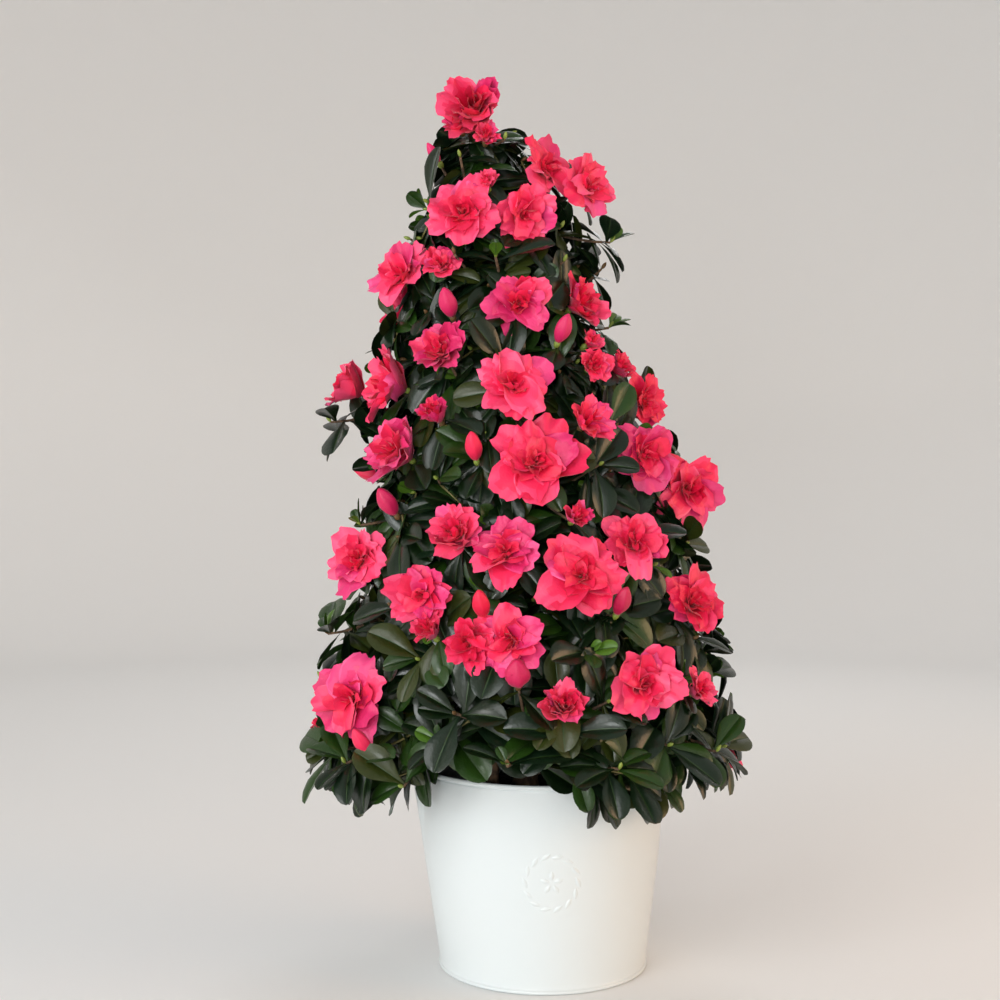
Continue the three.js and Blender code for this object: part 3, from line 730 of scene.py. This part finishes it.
# %% One leaf
LEAF_ROWS = 10
LEAF_ALONG = 1 - (1 - np.linspace(0, 1, LEAF_ROWS)[:, None]) ** 1.4
LEAF_ACROSS = np.array([-1, -0.62, -0.045, 0, 0.045, 0.62, 1])[None, :]
LEAF_QUADS = grid_quads(LEAF_ROWS, LEAF_ACROSS.size)
ON_RIB = np.tile(np.abs(LEAF_ACROSS[0, 1:] + LEAF_ACROSS[0, :-1]) < 0.1, LEAF_ROWS - 1)
LEAF_VEINS = 0.035 * (-1.0) ** np.arange(LEAF_ROWS)[:, None]
STALK = 0.07


def leaf_sheet(length, width, curl, fold, twist):
    """A leaf that lies along +X with its face up, its stalk at the origin."""
    swell = np.sin(np.pi * np.clip(LEAF_ALONG, 0, 0.9999) ** 1.35) ** lerp(1.15, 0.5, LEAF_ALONG)
    across = LEAF_ACROSS * 0.5 * width * np.maximum(swell, STALK)
    steps = length * np.diff(LEAF_ALONG, axis=0)
    lean = curl * LEAF_ALONG[1:]
    along = np.concatenate([[[0]], np.cumsum(np.cos(lean) * steps, axis=0)])
    drop = np.concatenate([[[0]], np.cumsum(np.sin(lean) * steps, axis=0)])
    side = np.abs(LEAF_ACROSS)
    along = along + 0.07 * length * side * swell
    veins = LEAF_VEINS * side * (1.2 - side)
    raised = width * swell * (fold * side - 0.12 * side**3 - 0.02 * (side < 0.01) + veins)
    turn = twist * LEAF_ALONG
    y = across * np.cos(turn) - raised * np.sin(turn)
    z = across * np.sin(turn) + raised * np.cos(turn)
    return np.stack([along + 0 * y, y, z - drop], -1)


# %% Where the leaves go
LEAF_LENGTH = 36 * MM
LEAF_GAP = 4.2 * MM
OWN_REACH = 13 * MM
SPROUT_SHARE = 0.45
TINT_SHARES = (0.42, 0.3, 0.2, 0.08)
LIGHTER_FROM = 0.86
LEAST_LEAVES = 3
HEM = 108 * MM
LEAF_TOP = 568 * MM
OPEN_HEM = 146 * MM
SKIRT_MORE = 9 * MM
SKIRT_TOP = 235 * MM
SKIRT_BLEND = 30 * MM
SIDE_STEPS = (
    # bearing, height, how much further leaves reach there, and half the height that it covers
    (-90, 512 * MM, -30 * MM, 20 * MM), (-90, 415 * MM, -20 * MM, 18 * MM),
    (-90, 300 * MM, -22 * MM, 20 * MM), (-90, 211 * MM, -14 * MM, 20 * MM),
    (90, 449 * MM, -10 * MM, 16 * MM), (90, 361 * MM, 14 * MM, 16 * MM),
    (90, 293 * MM, 16 * MM, 18 * MM), (90, 112 * MM, 14 * MM, 20 * MM),
)
box_low, box_high = (np.array(corner) for corner in cad_box)
taken = np.zeros((20000, 3))
taken_count = 0


def bulge(bearing, height):
    """The crown isn't clipped evenly: its leaves reach further here and less far there."""
    turn = math.radians(bearing)
    return math.sin(3 * turn + 2 * math.sin(21 * height)) * math.sin(46 * height + 2 * turn)


def side_step(bearing, height):
    """How much further leaves reach at this place of the crown's sides."""
    step = 0
    for side, level, more, half in SIDE_STEPS:
        towards = max(0, math.cos(math.radians(bearing - side))) ** 2
        step += more * towards * math.exp(-(((height - level) / half) ** 2))
    return step


def room_for(samples, own_reach):
    """True if a leaf with these points on it is clear of blooms and leaves and within the crown."""
    global taken_count
    tip = samples[-1]
    bearing = bearing_of(tip)
    hem = OPEN_HEM if OPEN_HEM_FROM < bearing < OPEN_HEM_TO else HEM
    if (samples < box_low).any() or (samples > box_high).any():
        return False
    if samples[:, 2].min() < hem or samples[:, 2].max() > LEAF_TOP:
        return False
    limit = reach_at(max(tip[2], CROWN_BOTTOM + 12 * MM)) * (1.02 + 0.1 * bulge(bearing, tip[2])) + 4 * MM
    skirt = clamp((SKIRT_TOP - tip[2]) / SKIRT_BLEND)
    limit += SKIRT_MORE * skirt * max(0, -math.sin(math.radians(bearing)))
    limit = max(limit, own_reach) + side_step(bearing, tip[2])
    if math.dist(tip[:2], centre_at(tip[2])[:2]) > limit or in_a_bloom(samples):
        return False
    if taken_count:
        apart = np.linalg.norm(taken[:taken_count, None] - samples[2:], axis=-1)
        if apart.min() < LEAF_GAP:
            return False
    taken[taken_count : taken_count + len(samples) - 2] = samples[2:]
    taken_count += len(samples) - 2
    return True


def grow_leaf(pile, root, way, face, length, tint, own_reach, rng):
    """Adds one leaf, if there is room for it."""
    width = length * rng.uniform(0.46, 0.6)
    sheet = leaf_sheet(length, width, rng.uniform(0.1, 0.75), rng.uniform(0.1, 0.26), rng.normal(0, 0.12))
    points = root + sheet.reshape(-1, 3) @ axes_of(way, face)
    grid = points.reshape(LEAF_ROWS, -1, 3)
    samples = np.stack([grid[4, 0], grid[4, -1], grid[4, 3], grid[6, 3], grid[9, 3]])
    if at_the_pot(points) or not room_for(samples, own_reach):
        return False
    pile.add(points, LEAF_QUADS, np.where(ON_RIB, RIB, tint))
    return True


def whorl(pile, shoot, count, spread, back, length, rng):
    """Leaves round the end of a shoot, dealt by the golden angle, older ones lower and wider."""
    global taken_count
    fresh, before = Pile(), taken_count
    end = shoot.twig[-1]
    behind = unit(shoot.twig[-2] - end)
    start = rng.uniform(0, 2 * math.pi)
    tone = rng.random()
    droop = 1.3 - 0.7 * crown_share(shoot.place[2])
    own_reach = math.dist(end[:2], centre_at(end[2])[:2]) + OWN_REACH
    made = 0
    for k in range(count * 2):
        age = k / (count * 2 - 1)
        turn = start + math.radians(GOLDEN_ANGLE) * k + rng.normal(0, 0.25)
        lean = math.radians(lerp(*spread, age) + rng.normal(0, 8))
        way = math.cos(lean) * shoot.facing + math.sin(lean) * aside_of(shoot.facing, turn)
        way[2] -= lerp(0.1, 0.6, age) * droop
        root = end + behind * (back + 1.1 * MM * k)
        size = length * rng.uniform(0.72, 1.12)
        tint = rng.choice([DEEP, BLUE_GREEN, GREEN, OLIVE], p=TINT_SHARES)
        if tone > LIGHTER_FROM:
            tint = rng.choice([GREEN, OLIVE])
        if grow_leaf(fresh, root, unit(way), shoot.facing + 0.5 * UP, size, tint, own_reach, rng):
            made += 1
        if made == count:
            break
    if shoot.width == 0 and made < LEAST_LEAVES:
        taken_count = before
        return 0
    pile.take(fresh)
    return made


def sprout(pile, shoot, rng):
    """The young leaves in the middle of a leafy shoot."""
    for k in range(3):
        turn = rng.uniform(0, 2 * math.pi)
        lean = rng.uniform(0.3, 0.7)
        way = math.cos(lean) * shoot.facing + math.sin(lean) * aside_of(shoot.facing, turn)
        size = rng.uniform(11, 20) * MM
        tint = YOUNG if k else GREEN
        grow_leaf(pile, shoot.twig[-1], unit(way), shoot.facing + 0.3 * UP, size, tint, CROWN_RADIUS, rng)


# %% Every whorl of the crown
rng = np.random.default_rng(41)
leaves = [Pile(), Pile(), Pile()]
everything = shoots + fine_shoots
for shoot in sorted(everything, key=lambda one: -math.dist(one.place[:2], centre_at(one.place[2])[:2])):
    pile = leaves[min(2, int(3 * crown_share(shoot.place[2]) * 1.35))]
    if shoot.width > 0:
        shoot.leaves = whorl(pile, shoot, 5, (82, 108), 3 * MM, LEAF_LENGTH, rng)
    else:
        shoot.leaves = whorl(pile, shoot, 7, (48, 100), 0.5 * MM, LEAF_LENGTH, rng)
        if shoot.leaves and rng.random() < SPROUT_SHARE:
            sprout(pile, shoot, rng)
for number, pile in enumerate(leaves):
    make_piece(f"leaves_{number + 1}", pile, LEAF_TINTS, foliage_nodes)
print("leaves:", sum(shoot.leaves for shoot in everything))

# %% [markdown]
# A shoot that found no room for leaves would stand bare, so the twigs are drawn only now, and only
# to the shoots that bear something. Finer ones are thin and still green.

# %% The twigs that are kept
everything = [shoot for shoot in everything if shoot.width > 0 or shoot.leaves > 0]
fine_ids = {id(shoot) for shoot in fine_shoots}
for shoot in everything:
    fine = id(shoot) in fine_ids
    thick = (0.6 if fine else 1) * TWIG_RADIUS
    radii = np.linspace(1, 0.55, len(shoot.twig)) * thick
    twigs.add(*tube(shoot.twig, radii, 6), GREEN_WOOD if fine else OLD_WOOD)
make_piece("twigs", twigs, [bark, green_twig], foliage_nodes)

# %% [markdown]
# ## Blooms
# A double azalea has about twenty petals in rings: five broad ones outside, five between them, and
# ruffled smaller ones that hide the heart. Each petal is a grid wrapped round the bloom's axis. Its
# centre line bends outwards, its margin is rounded and waved, and inner petals are crumpled.

# %% One petal
def petal_sheet(reach, height, bend, width, turn, ruffle, crumple, rows, columns, rng):
    """A petal of a bloom that faces +Z, from the origin to a tip at reach and height."""
    along = np.linspace(0, 1, rows)[:, None]
    across = np.linspace(-1, 1, columns)[None, :]
    mean = math.atan2(reach, height)
    lean = mean + bend * (2 * along - 1)
    out = np.cumsum(np.sin(lean), axis=0)
    rise = np.cumsum(np.cos(lean), axis=0)
    scale = math.hypot(reach, height) / math.hypot(out[-1, 0] - out[0, 0], rise[-1, 0] - rise[0, 0])
    swell = 0.13 + 0.87 * np.sin(np.pi / 2 * np.minimum(along / 0.62, 1)) ** 1.1
    rounded = along * (1 - 0.52 * (1 - np.sqrt(1 - 0.94 * np.abs(across) ** rng.uniform(1.8, 3.4))))
    teeth = rng.normal(0, 0.026, columns)
    margin = 1 + (0.035 * np.sin(across * rng.uniform(5, 9) + rng.uniform(0, 6)) + teeth) * along**3
    share = np.clip(rounded * margin, 0, 1.03) * (rows - 1)
    low = np.clip(share.astype(int), 0, rows - 2)
    part = share - low
    curves = (out - out[0]) * scale, (rise - rise[0]) * scale, lean
    radius, level, slope = (lerp(curve[low, 0], curve[low + 1, 0], part) for curve in curves)
    radius = radius + 0.03 * width
    edge = np.maximum(np.abs(across), along) ** 3 * along
    phase = across + 0.9 * np.sign(across) * (1 - along)
    wave = 0.65 * np.sin(rng.uniform(4.5, 7.5) * phase + rng.uniform(0, 6))
    wave = wave + 0.35 * np.sin(rng.uniform(9, 13) * phase + rng.uniform(0, 6))
    cup = rng.uniform(-0.08, 0.1) * across**2 * along + rng.normal(0.04, 0.07) * across * along
    groove = -0.02 * np.exp(-((across / 0.22) ** 2)) * along - 0.012 * np.cos(10 * across) * along
    folds = np.sin(rng.uniform(2, 4) * across + rng.uniform(2, 5) * along + rng.uniform(0, 6))
    lifted = width * (ruffle * edge * wave + cup + groove + crumple * folds * along)
    angle = turn + across * 0.5 * width * swell / np.maximum(radius, 0.12 * width)
    return round_points(radius - lifted * np.cos(slope), angle, level + lifted * np.sin(slope))


# %% A whole bloom
RINGS = (
    # petals, reach and lift in shares of the bloom's width, petal width, ruffle, crumple, tone
    (5, 0.51, 0.00, 0.50, 0.10, 0.04, 7.2),
    (5, 0.41, 0.03, 0.42, 0.13, 0.06, 6.8),
    (4, 0.29, 0.06, 0.36, 0.12, 0.08, 5.8),
    (4, 0.18, 0.07, 0.25, 0.14, 0.12, 4.8),
    (3, 0.08, 0.05, 0.16, 0.14, 0.14, 4.0),
)
BROAD_RINGS = 2
BROAD_GRID, SMALL_GRID = (9, 14), (6, 8)
BLOOM_TILT = 0.16
LOOSE_SHARE = 0.25
# Painted shade: at random, some outer petals and all broad petals of some blooms take the magenta ramp,
# which stands in for shaded, backlit petals.
SHADED_ROSY_BLOOMS = 0.28
SHADED_ROSY_SHARE = 0.75
SHADED_MAGENTA_SHARE = 0.16


def petal_tints(rows, columns, tone, rng):
    """A step of the ramp for each face: red at the foot of the petal and paler to its margin."""
    along = (np.arange(rows - 1)[:, None] + 0.5) / (rows - 1)
    across = np.abs(np.arange(columns - 1)[None, :] - (columns - 2) / 2) / ((columns - 2) / 2)
    steps = tone - 4.0 * (1 - along) ** 1.8 + 0.8 * along * across + rng.normal(0, 0.6)
    return np.clip(np.round(steps), 0, PETAL_STEPS - 1).astype(int).ravel()


def grow_bloom(pile, shoot, rng):
    tilt = rng.normal(0, BLOOM_TILT, 2)
    frame_of = axes_of(shoot.facing, UP)
    turn_to = axes_of(shoot.facing + tilt[0] * frame_of[1] + tilt[1] * frame_of[2], UP)[[1, 2, 0]]
    seat = shoot.twig[-1]
    width = shoot.width
    rise = bloom_rise(width, shoot.opening)
    roll = rng.uniform(0, 2 * math.pi)
    mood = rng.normal(0, 0.5)
    shaded_magenta_share = SHADED_ROSY_SHARE if rng.random() < SHADED_ROSY_BLOOMS else SHADED_MAGENTA_SHARE
    for ring, (count, reach, lift, petal, ruffle, crumple, tone) in enumerate(RINGS):
        if ring in (2, 3) and rng.random() < LOOSE_SHARE:
            continue
        rows, columns = BROAD_GRID if ring < BROAD_RINGS else SMALL_GRID
        bend = lerp(-0.2, 0.5, shoot.opening) * (1 - 0.15 * ring)
        for k in range(count):
            turn = roll + 2 * math.pi * (k + 0.5 * (ring % 2)) / count + rng.normal(0, 0.17)
            size = rng.uniform(0.76, 1.08)
            sheet = petal_sheet(
                reach * width * size,
                rise + (lift + rng.normal(0, 0.035)) * width,
                bend + rng.normal(0, 0.3),
                petal * width * rng.uniform(0.86, 1.1),
                turn, ruffle, crumple, rows, columns, rng,
            )
            points = seat + sheet.reshape(-1, 3) @ turn_to
            tints = petal_tints(rows, columns, tone + mood, rng)
            # Painted shade: a broad petal may take the magenta copy of the ramp, which stands in for shade
            # and backlight.
            shaded_magenta = rng.random() < (shaded_magenta_share if ring < BROAD_RINGS else 0)
            pile.add(points, grid_quads(rows, columns), tints + PETAL_STEPS * shaded_magenta)


# %% [markdown]
# A bud is the same flower rolled up: a pointed spindle with a fold for each petal that winds round
# it, in a cup of green and brown scales. Open blooms have the cup too, on a short green stalk.


# %% Buds and their cups
CALYX, SCALE = range(2)


def spindle(seat, facing, length, radius, folds, twist, rows=9, sides=20):
    """A closed pointed body that stands on its seat, with folds that wind round it."""
    share = np.linspace(0, 1, rows)
    outline = np.sin(np.pi * np.clip(share * 0.93 + 0.05, 0, 1)) ** 0.7
    turns = 2 * np.pi * np.arange(sides) / sides
    fold = 1 + folds * np.cos(5 * turns[None, :] + twist * share[:, None])
    radii = radius * np.maximum(outline, 0.05)[:, None] * fold
    return tube(seat + np.outer(share * length, facing), radii, sides)


def sepals(pile, seat, facing, size, rng):
    """Five narrow scales round the foot of a bloom or bud."""
    for k in range(5):
        turn = 2 * math.pi * (k + rng.uniform(-0.2, 0.2)) / 5
        round_it = aside_of(facing, turn)
        sheet = leaf_sheet(size, 0.4 * size, -0.5, 0.3, 0).reshape(-1, 3)
        points = seat + sheet @ axes_of(unit(facing + 0.55 * round_it), -round_it)
        pile.add(points, LEAF_QUADS, CALYX)


# %% All blooms and buds
BUD_LENGTH = 21 * MM
rng = np.random.default_rng(59)
blossom = [Pile(), Pile(), Pile()]
cups = Pile()
for shoot in everything:
    seat, facing = shoot.twig[-1], shoot.facing
    if shoot.width == 0:
        tint = SCALE if rng.random() < 0.4 else CALYX
        cups.add(*spindle(seat, facing, 5.5 * MM, 1.3 * MM, 0.06, 1, 6, 8), tint)
        continue
    foot = seat - facing * 2.5 * MM
    sepals(cups, foot, facing, 8 * MM, rng)
    tint = SCALE if rng.random() < 0.3 else CALYX
    cups.add(*spindle(foot - facing * 2 * MM, facing, 7 * MM, 2.2 * MM, 0.05, 0, 6, 8), tint)
    pile = blossom[min(2, int(3 * crown_share(shoot.place[2])))]
    if shoot.opening < BUD_OPENING:
        # Painted shade: most buds take the magenta ramp, which stands in for shaded petals.
        tone = int(rng.integers(3, 7)) + PETAL_STEPS * int(rng.random() < 0.6)
        length = min(2.2 * shoot.width, BUD_LENGTH)
        pile.add(*spindle(seat, facing, length, 0.46 * shoot.width, 0.1, 2.6), tone)
    else:
        grow_bloom(pile, shoot, rng)
for number, pile in enumerate(blossom):
    make_piece(f"blossom_{number + 1}", pile, PETAL_TINTS, foliage_nodes)
make_piece("bud_scales", cups, [calyx_green, scale_brown])

# %% [markdown]
# ## The pot
# The pot is thin metal with a rolled rim, a bead round its foot and a pouring lip pinched out on
# either side. A turned profile would miss the lips, so each ring of the mesh follows the pot's plan
# at its height, and its columns run along the creases beside the lips, which keeps them sharp.

# %% The pot's wall
WALL = 1 * MM
BEAD = 1.5 * MM
QUARTER = 22


def plan_turns(height):
    """The bearings of a ring's points, which keep to the creases: fold, lip, and the wall between."""
    width, fold, _ = lip_widths(height)
    inside = np.linspace(0, fold - 0.2, 6)
    lobe = np.linspace(fold + 0.2, width, QUARTER, endpoint=False)
    quarter = np.concatenate([inside, lobe, np.linspace(width, 90, QUARTER, endpoint=False)])
    half = np.concatenate([quarter, 180 - np.append(quarter, 90)[:0:-1]])
    return LIP_TURN + np.concatenate([half, half + 180])


def bead_arc(inset, height, radius, first, last, steps):
    angles = np.radians(np.linspace(first, last, steps))
    return [(inset - radius * math.cos(a), height + radius * math.sin(a)) for a in angles]


def pot_profile():
    """How far inside the pot's outline each ring lies, and how high, from the foot to the inside."""
    foot = bead_arc(0.2 * MM, 1.6 * MM, 1.4 * MM, -70, 75, 9)
    wall = [(0, h) for h in np.linspace(4 * MM, POT_HEIGHT - 5 * MM, 26)]
    groove = [(0, POT_HEIGHT - 3.8 * MM), (0.5 * MM, POT_HEIGHT - 3.4 * MM)]
    rim = bead_arc(0.3 * MM, POT_HEIGHT - BEAD, BEAD, -88, 200, 17)
    inside = [(WALL, h) for h in np.linspace(POT_HEIGHT - 4 * MM, 3 * MM, 12)]
    return [(30 * MM, 0.0), (3 * MM, 0.0)] + foot + wall + groove + rim + inside


def pot_ring(inset, height):
    turns = plan_turns(min(height, POT_HEIGHT))
    radius = pot_radius(turns, min(height, POT_HEIGHT)) - inset
    return round_points(radius, np.radians(turns), height)


pot = Pile()
rings = np.stack([pot_ring(inset, height) for inset, height in pot_profile()])
pot.add(rings, closed_quads(len(rings), rings.shape[1]))
make_piece("enamelled_pot", pot, [enamel], ["pot"])

# %% [markdown]
# The front bears a faint ornament in low relief. This one is a plain wreath of leaves round a small
# rosette. Each leaf is a low dome laid on the wall, so it is made flat and then wrapped round.

# %% The ornament
ORNAMENT_ACROSS = 3.5 * MM
ORNAMENT_HEIGHT = 72 * MM
WREATH_RADIUS = 17 * MM
WREATH_SLANT = 1.95
ROSETTE_RADIUS = 4.6 * MM
ORNAMENT_RELIEF = 0.6 * MM


def on_wall(across, height, relief):
    radius = POT_FOOT_RADIUS + (POT_RIM_RADIUS - POT_FOOT_RADIUS) * height / POT_HEIGHT
    turn = np.degrees(across / radius) - 90
    return round_points(pot_radius(turn, height) + relief, np.radians(turn), height)


def dome(pile, across, height, length, width, turn):
    """A low lens on the wall, its middle raised and its margin just under the enamel."""
    ring = np.linspace(0, 1, 6)[:, None]
    angles = (2 * np.pi * np.arange(16) / 16)[None, :]
    x = 0.5 * length * ring * np.cos(angles)
    y = 0.5 * width * ring * np.sin(angles) * (1 - 0.35 * np.abs(np.cos(angles)))
    relief = ORNAMENT_RELIEF * (1 - ring**2) - 0.08 * MM + 0 * x
    aside = across + x * math.cos(turn) - y * math.sin(turn)
    up = height + x * math.sin(turn) + y * math.cos(turn)
    ring_points = on_wall(aside, up, relief)
    pile.add(ring_points[1:], grid_quads(5, 16, True))
    pile.add(ring_points[1], cap_quads(0, 16, False))


def dome_ring(pile, count, radius, first, length, width, slant):
    """Domes in a ring round the ornament's middle, each turned by slant from the way out."""
    for k in range(count):
        turn = 2 * math.pi * k / count + first
        across = ORNAMENT_ACROSS + radius * math.cos(turn)
        dome(pile, across, ORNAMENT_HEIGHT + radius * math.sin(turn), length, width, turn + slant)


ornament = Pile()
dome_ring(ornament, 14, WREATH_RADIUS, 0, 8.6 * MM, 3.4 * MM, WREATH_SLANT)
dome_ring(ornament, 5, ROSETTE_RADIUS, math.pi / 2, 7 * MM, 3.6 * MM, 0)
make_piece("wall_ornament", ornament, [enamel])

# %% [markdown]
# ## Compost
# The peat fills the pot to a finger under its rim. A flat disc would give it away from above, so
# its surface is a round grid with lumps, and a few hundred crumbs lie on it.


# %% The compost
def lumps(x, y):
    waves = np.sin(210 * x + 3 * np.sin(150 * y)) + np.sin(260 * y + 2 * np.sin(190 * x))
    return 0.55 * MM * (waves + np.sin(430 * (x - y)))


CRUMBS = 700
soil = Pile()
rng = np.random.default_rng(67)
spokes = 96
turns = np.linspace(0, 360, spokes, endpoint=False)
edge = pot_radius(turns, SOIL_TOP) - WALL - 0.4 * MM
shares = np.linspace(0.02, 1, 34)[:, None]
angles = np.radians(turns)
x = shares * edge * np.cos(angles)
y = shares * edge * np.sin(angles)
sunk = 4.5 * MM * np.clip((shares - 0.84) / 0.16, 0, 1) ** 1.5
z = SOIL_TOP - 0.8 * MM + lumps(x, y) + rng.normal(0, 0.35 * MM, x.shape) - sunk
top = np.stack([x, y, z], -1)
under_edge = pot_radius(turns, SOIL_TOP - 16 * MM) - WALL - 0.8 * MM
under = round_points(under_edge, angles, z[-1] - 12 * MM)
rings = np.concatenate([under[None], top[::-1]])
soil.add(rings, closed_quads(len(rings), spokes))
for _ in range(CRUMBS):
    turn, share = rng.uniform(0, 2 * math.pi), math.sqrt(rng.uniform(0, 0.82))
    place = np.array([math.cos(turn), math.sin(turn), 0]) * share * POT_RIM_RADIUS * 0.94
    place[2] = SOIL_TOP - 0.6 * MM + lumps(place[0], place[1])
    size = rng.uniform(0.6, 2.2) * MM
    lie = unit(rng.normal(0, 1, 3) * [1, 1, 0.4])
    line = place + np.outer([-0.9, -0.4, 0.5, 0.9], lie) * size
    soil.add(*tube(line, size * rng.uniform(0.3, 0.8, (4, 6)), 6))
make_piece("peat", soil, [peat], ["compost"])

# %% [markdown]
# ## Stage, light and camera
# A round pale sweep stands in for the room. A large soft light at the upper left does most of the
# work, as a window would. A low one in front reaches under the leaves, a warm one fills in from the
# right, and weaker ones lift the left side and the back, under an even pale sky. The camera is level
# with the middle of the plant, a metre in front of it.

# %% The floor
floor_arc = [(1.9 + 0.6 * math.sin(a), 0.6 - 0.6 * math.cos(a)) for a in np.linspace(0, math.pi / 2, 12)]
floor_profile = [(0.02, 0.0), (0.5, 0.0), (1.2, 0.0)] + floor_arc + [(2.5, 2.6)]
turns = 2 * np.pi * np.arange(spokes) / spokes
rings = np.stack([round_points(radius, turns, height) for radius, height in floor_profile])
ground = Pile()
ground.add(rings, np.concatenate([grid_quads(len(rings), spokes, True), cap_quads(0, spokes, True)]))
pale_floor = finish("pale_floor", srgb(240, 240, 239), 0.7)
floor = make_mesh("floor", ground, [pale_floor])


# %% The lights
LIT_POINT = Vector((0, 0, 0.32))
SKY_STRENGTH = 0.38


def soft_light(name, place, size, power, colour):
    light = bpy.data.lights.new(name, "AREA")
    light.shape = "DISK"
    light.size = size
    light.energy = power
    light.color = colour
    lamp = bpy.data.objects.new(name, light)
    lamp.location = place
    lamp.rotation_euler = (LIT_POINT - lamp.location).to_track_quat("-Z", "Y").to_euler()
    bpy.context.scene.collection.objects.link(lamp)


soft_light("window", (-0.9, -1.4, 1.0), 1.1, 11.5, (0.98, 0.99, 1))
soft_light("front", (-0.3, -1.7, 0.3), 0.5, 8, (0.96, 0.99, 1))
soft_light("fill", (1.5, -0.35, 0.52), 0.85, 9, (1, 0.6, 0.32))
soft_light("side", (-1.5, -0.9, 0.26), 0.45, 5, (1, 0.99, 0.97))
soft_light("back", (0.3, 1.5, 1.6), 1.2, 8, (1, 1, 1))
world = bpy.data.worlds.new("pale_sky")
world.use_nodes = True
sky = world.node_tree.nodes["Background"].inputs
sky["Color"].default_value = (1, 1, 1, 1)
sky["Strength"].default_value = SKY_STRENGTH
bpy.context.scene.world = world
print("lights:", len(bpy.data.lights))

# %% The camera
SENSOR_WIDTH = 36
FOCAL_LENGTH = 51.48
camera_data = bpy.data.cameras.new("camera")
camera_data.sensor_width = SENSOR_WIDTH
camera_data.lens = FOCAL_LENGTH
camera = bpy.data.objects.new("camera", camera_data)
camera.location = EYE
camera.rotation_euler = (math.pi / 2, 0, 0)
bpy.context.scene.collection.objects.link(camera)
bpy.context.scene.camera = camera
bpy.context.scene.view_settings.view_transform = "Standard"
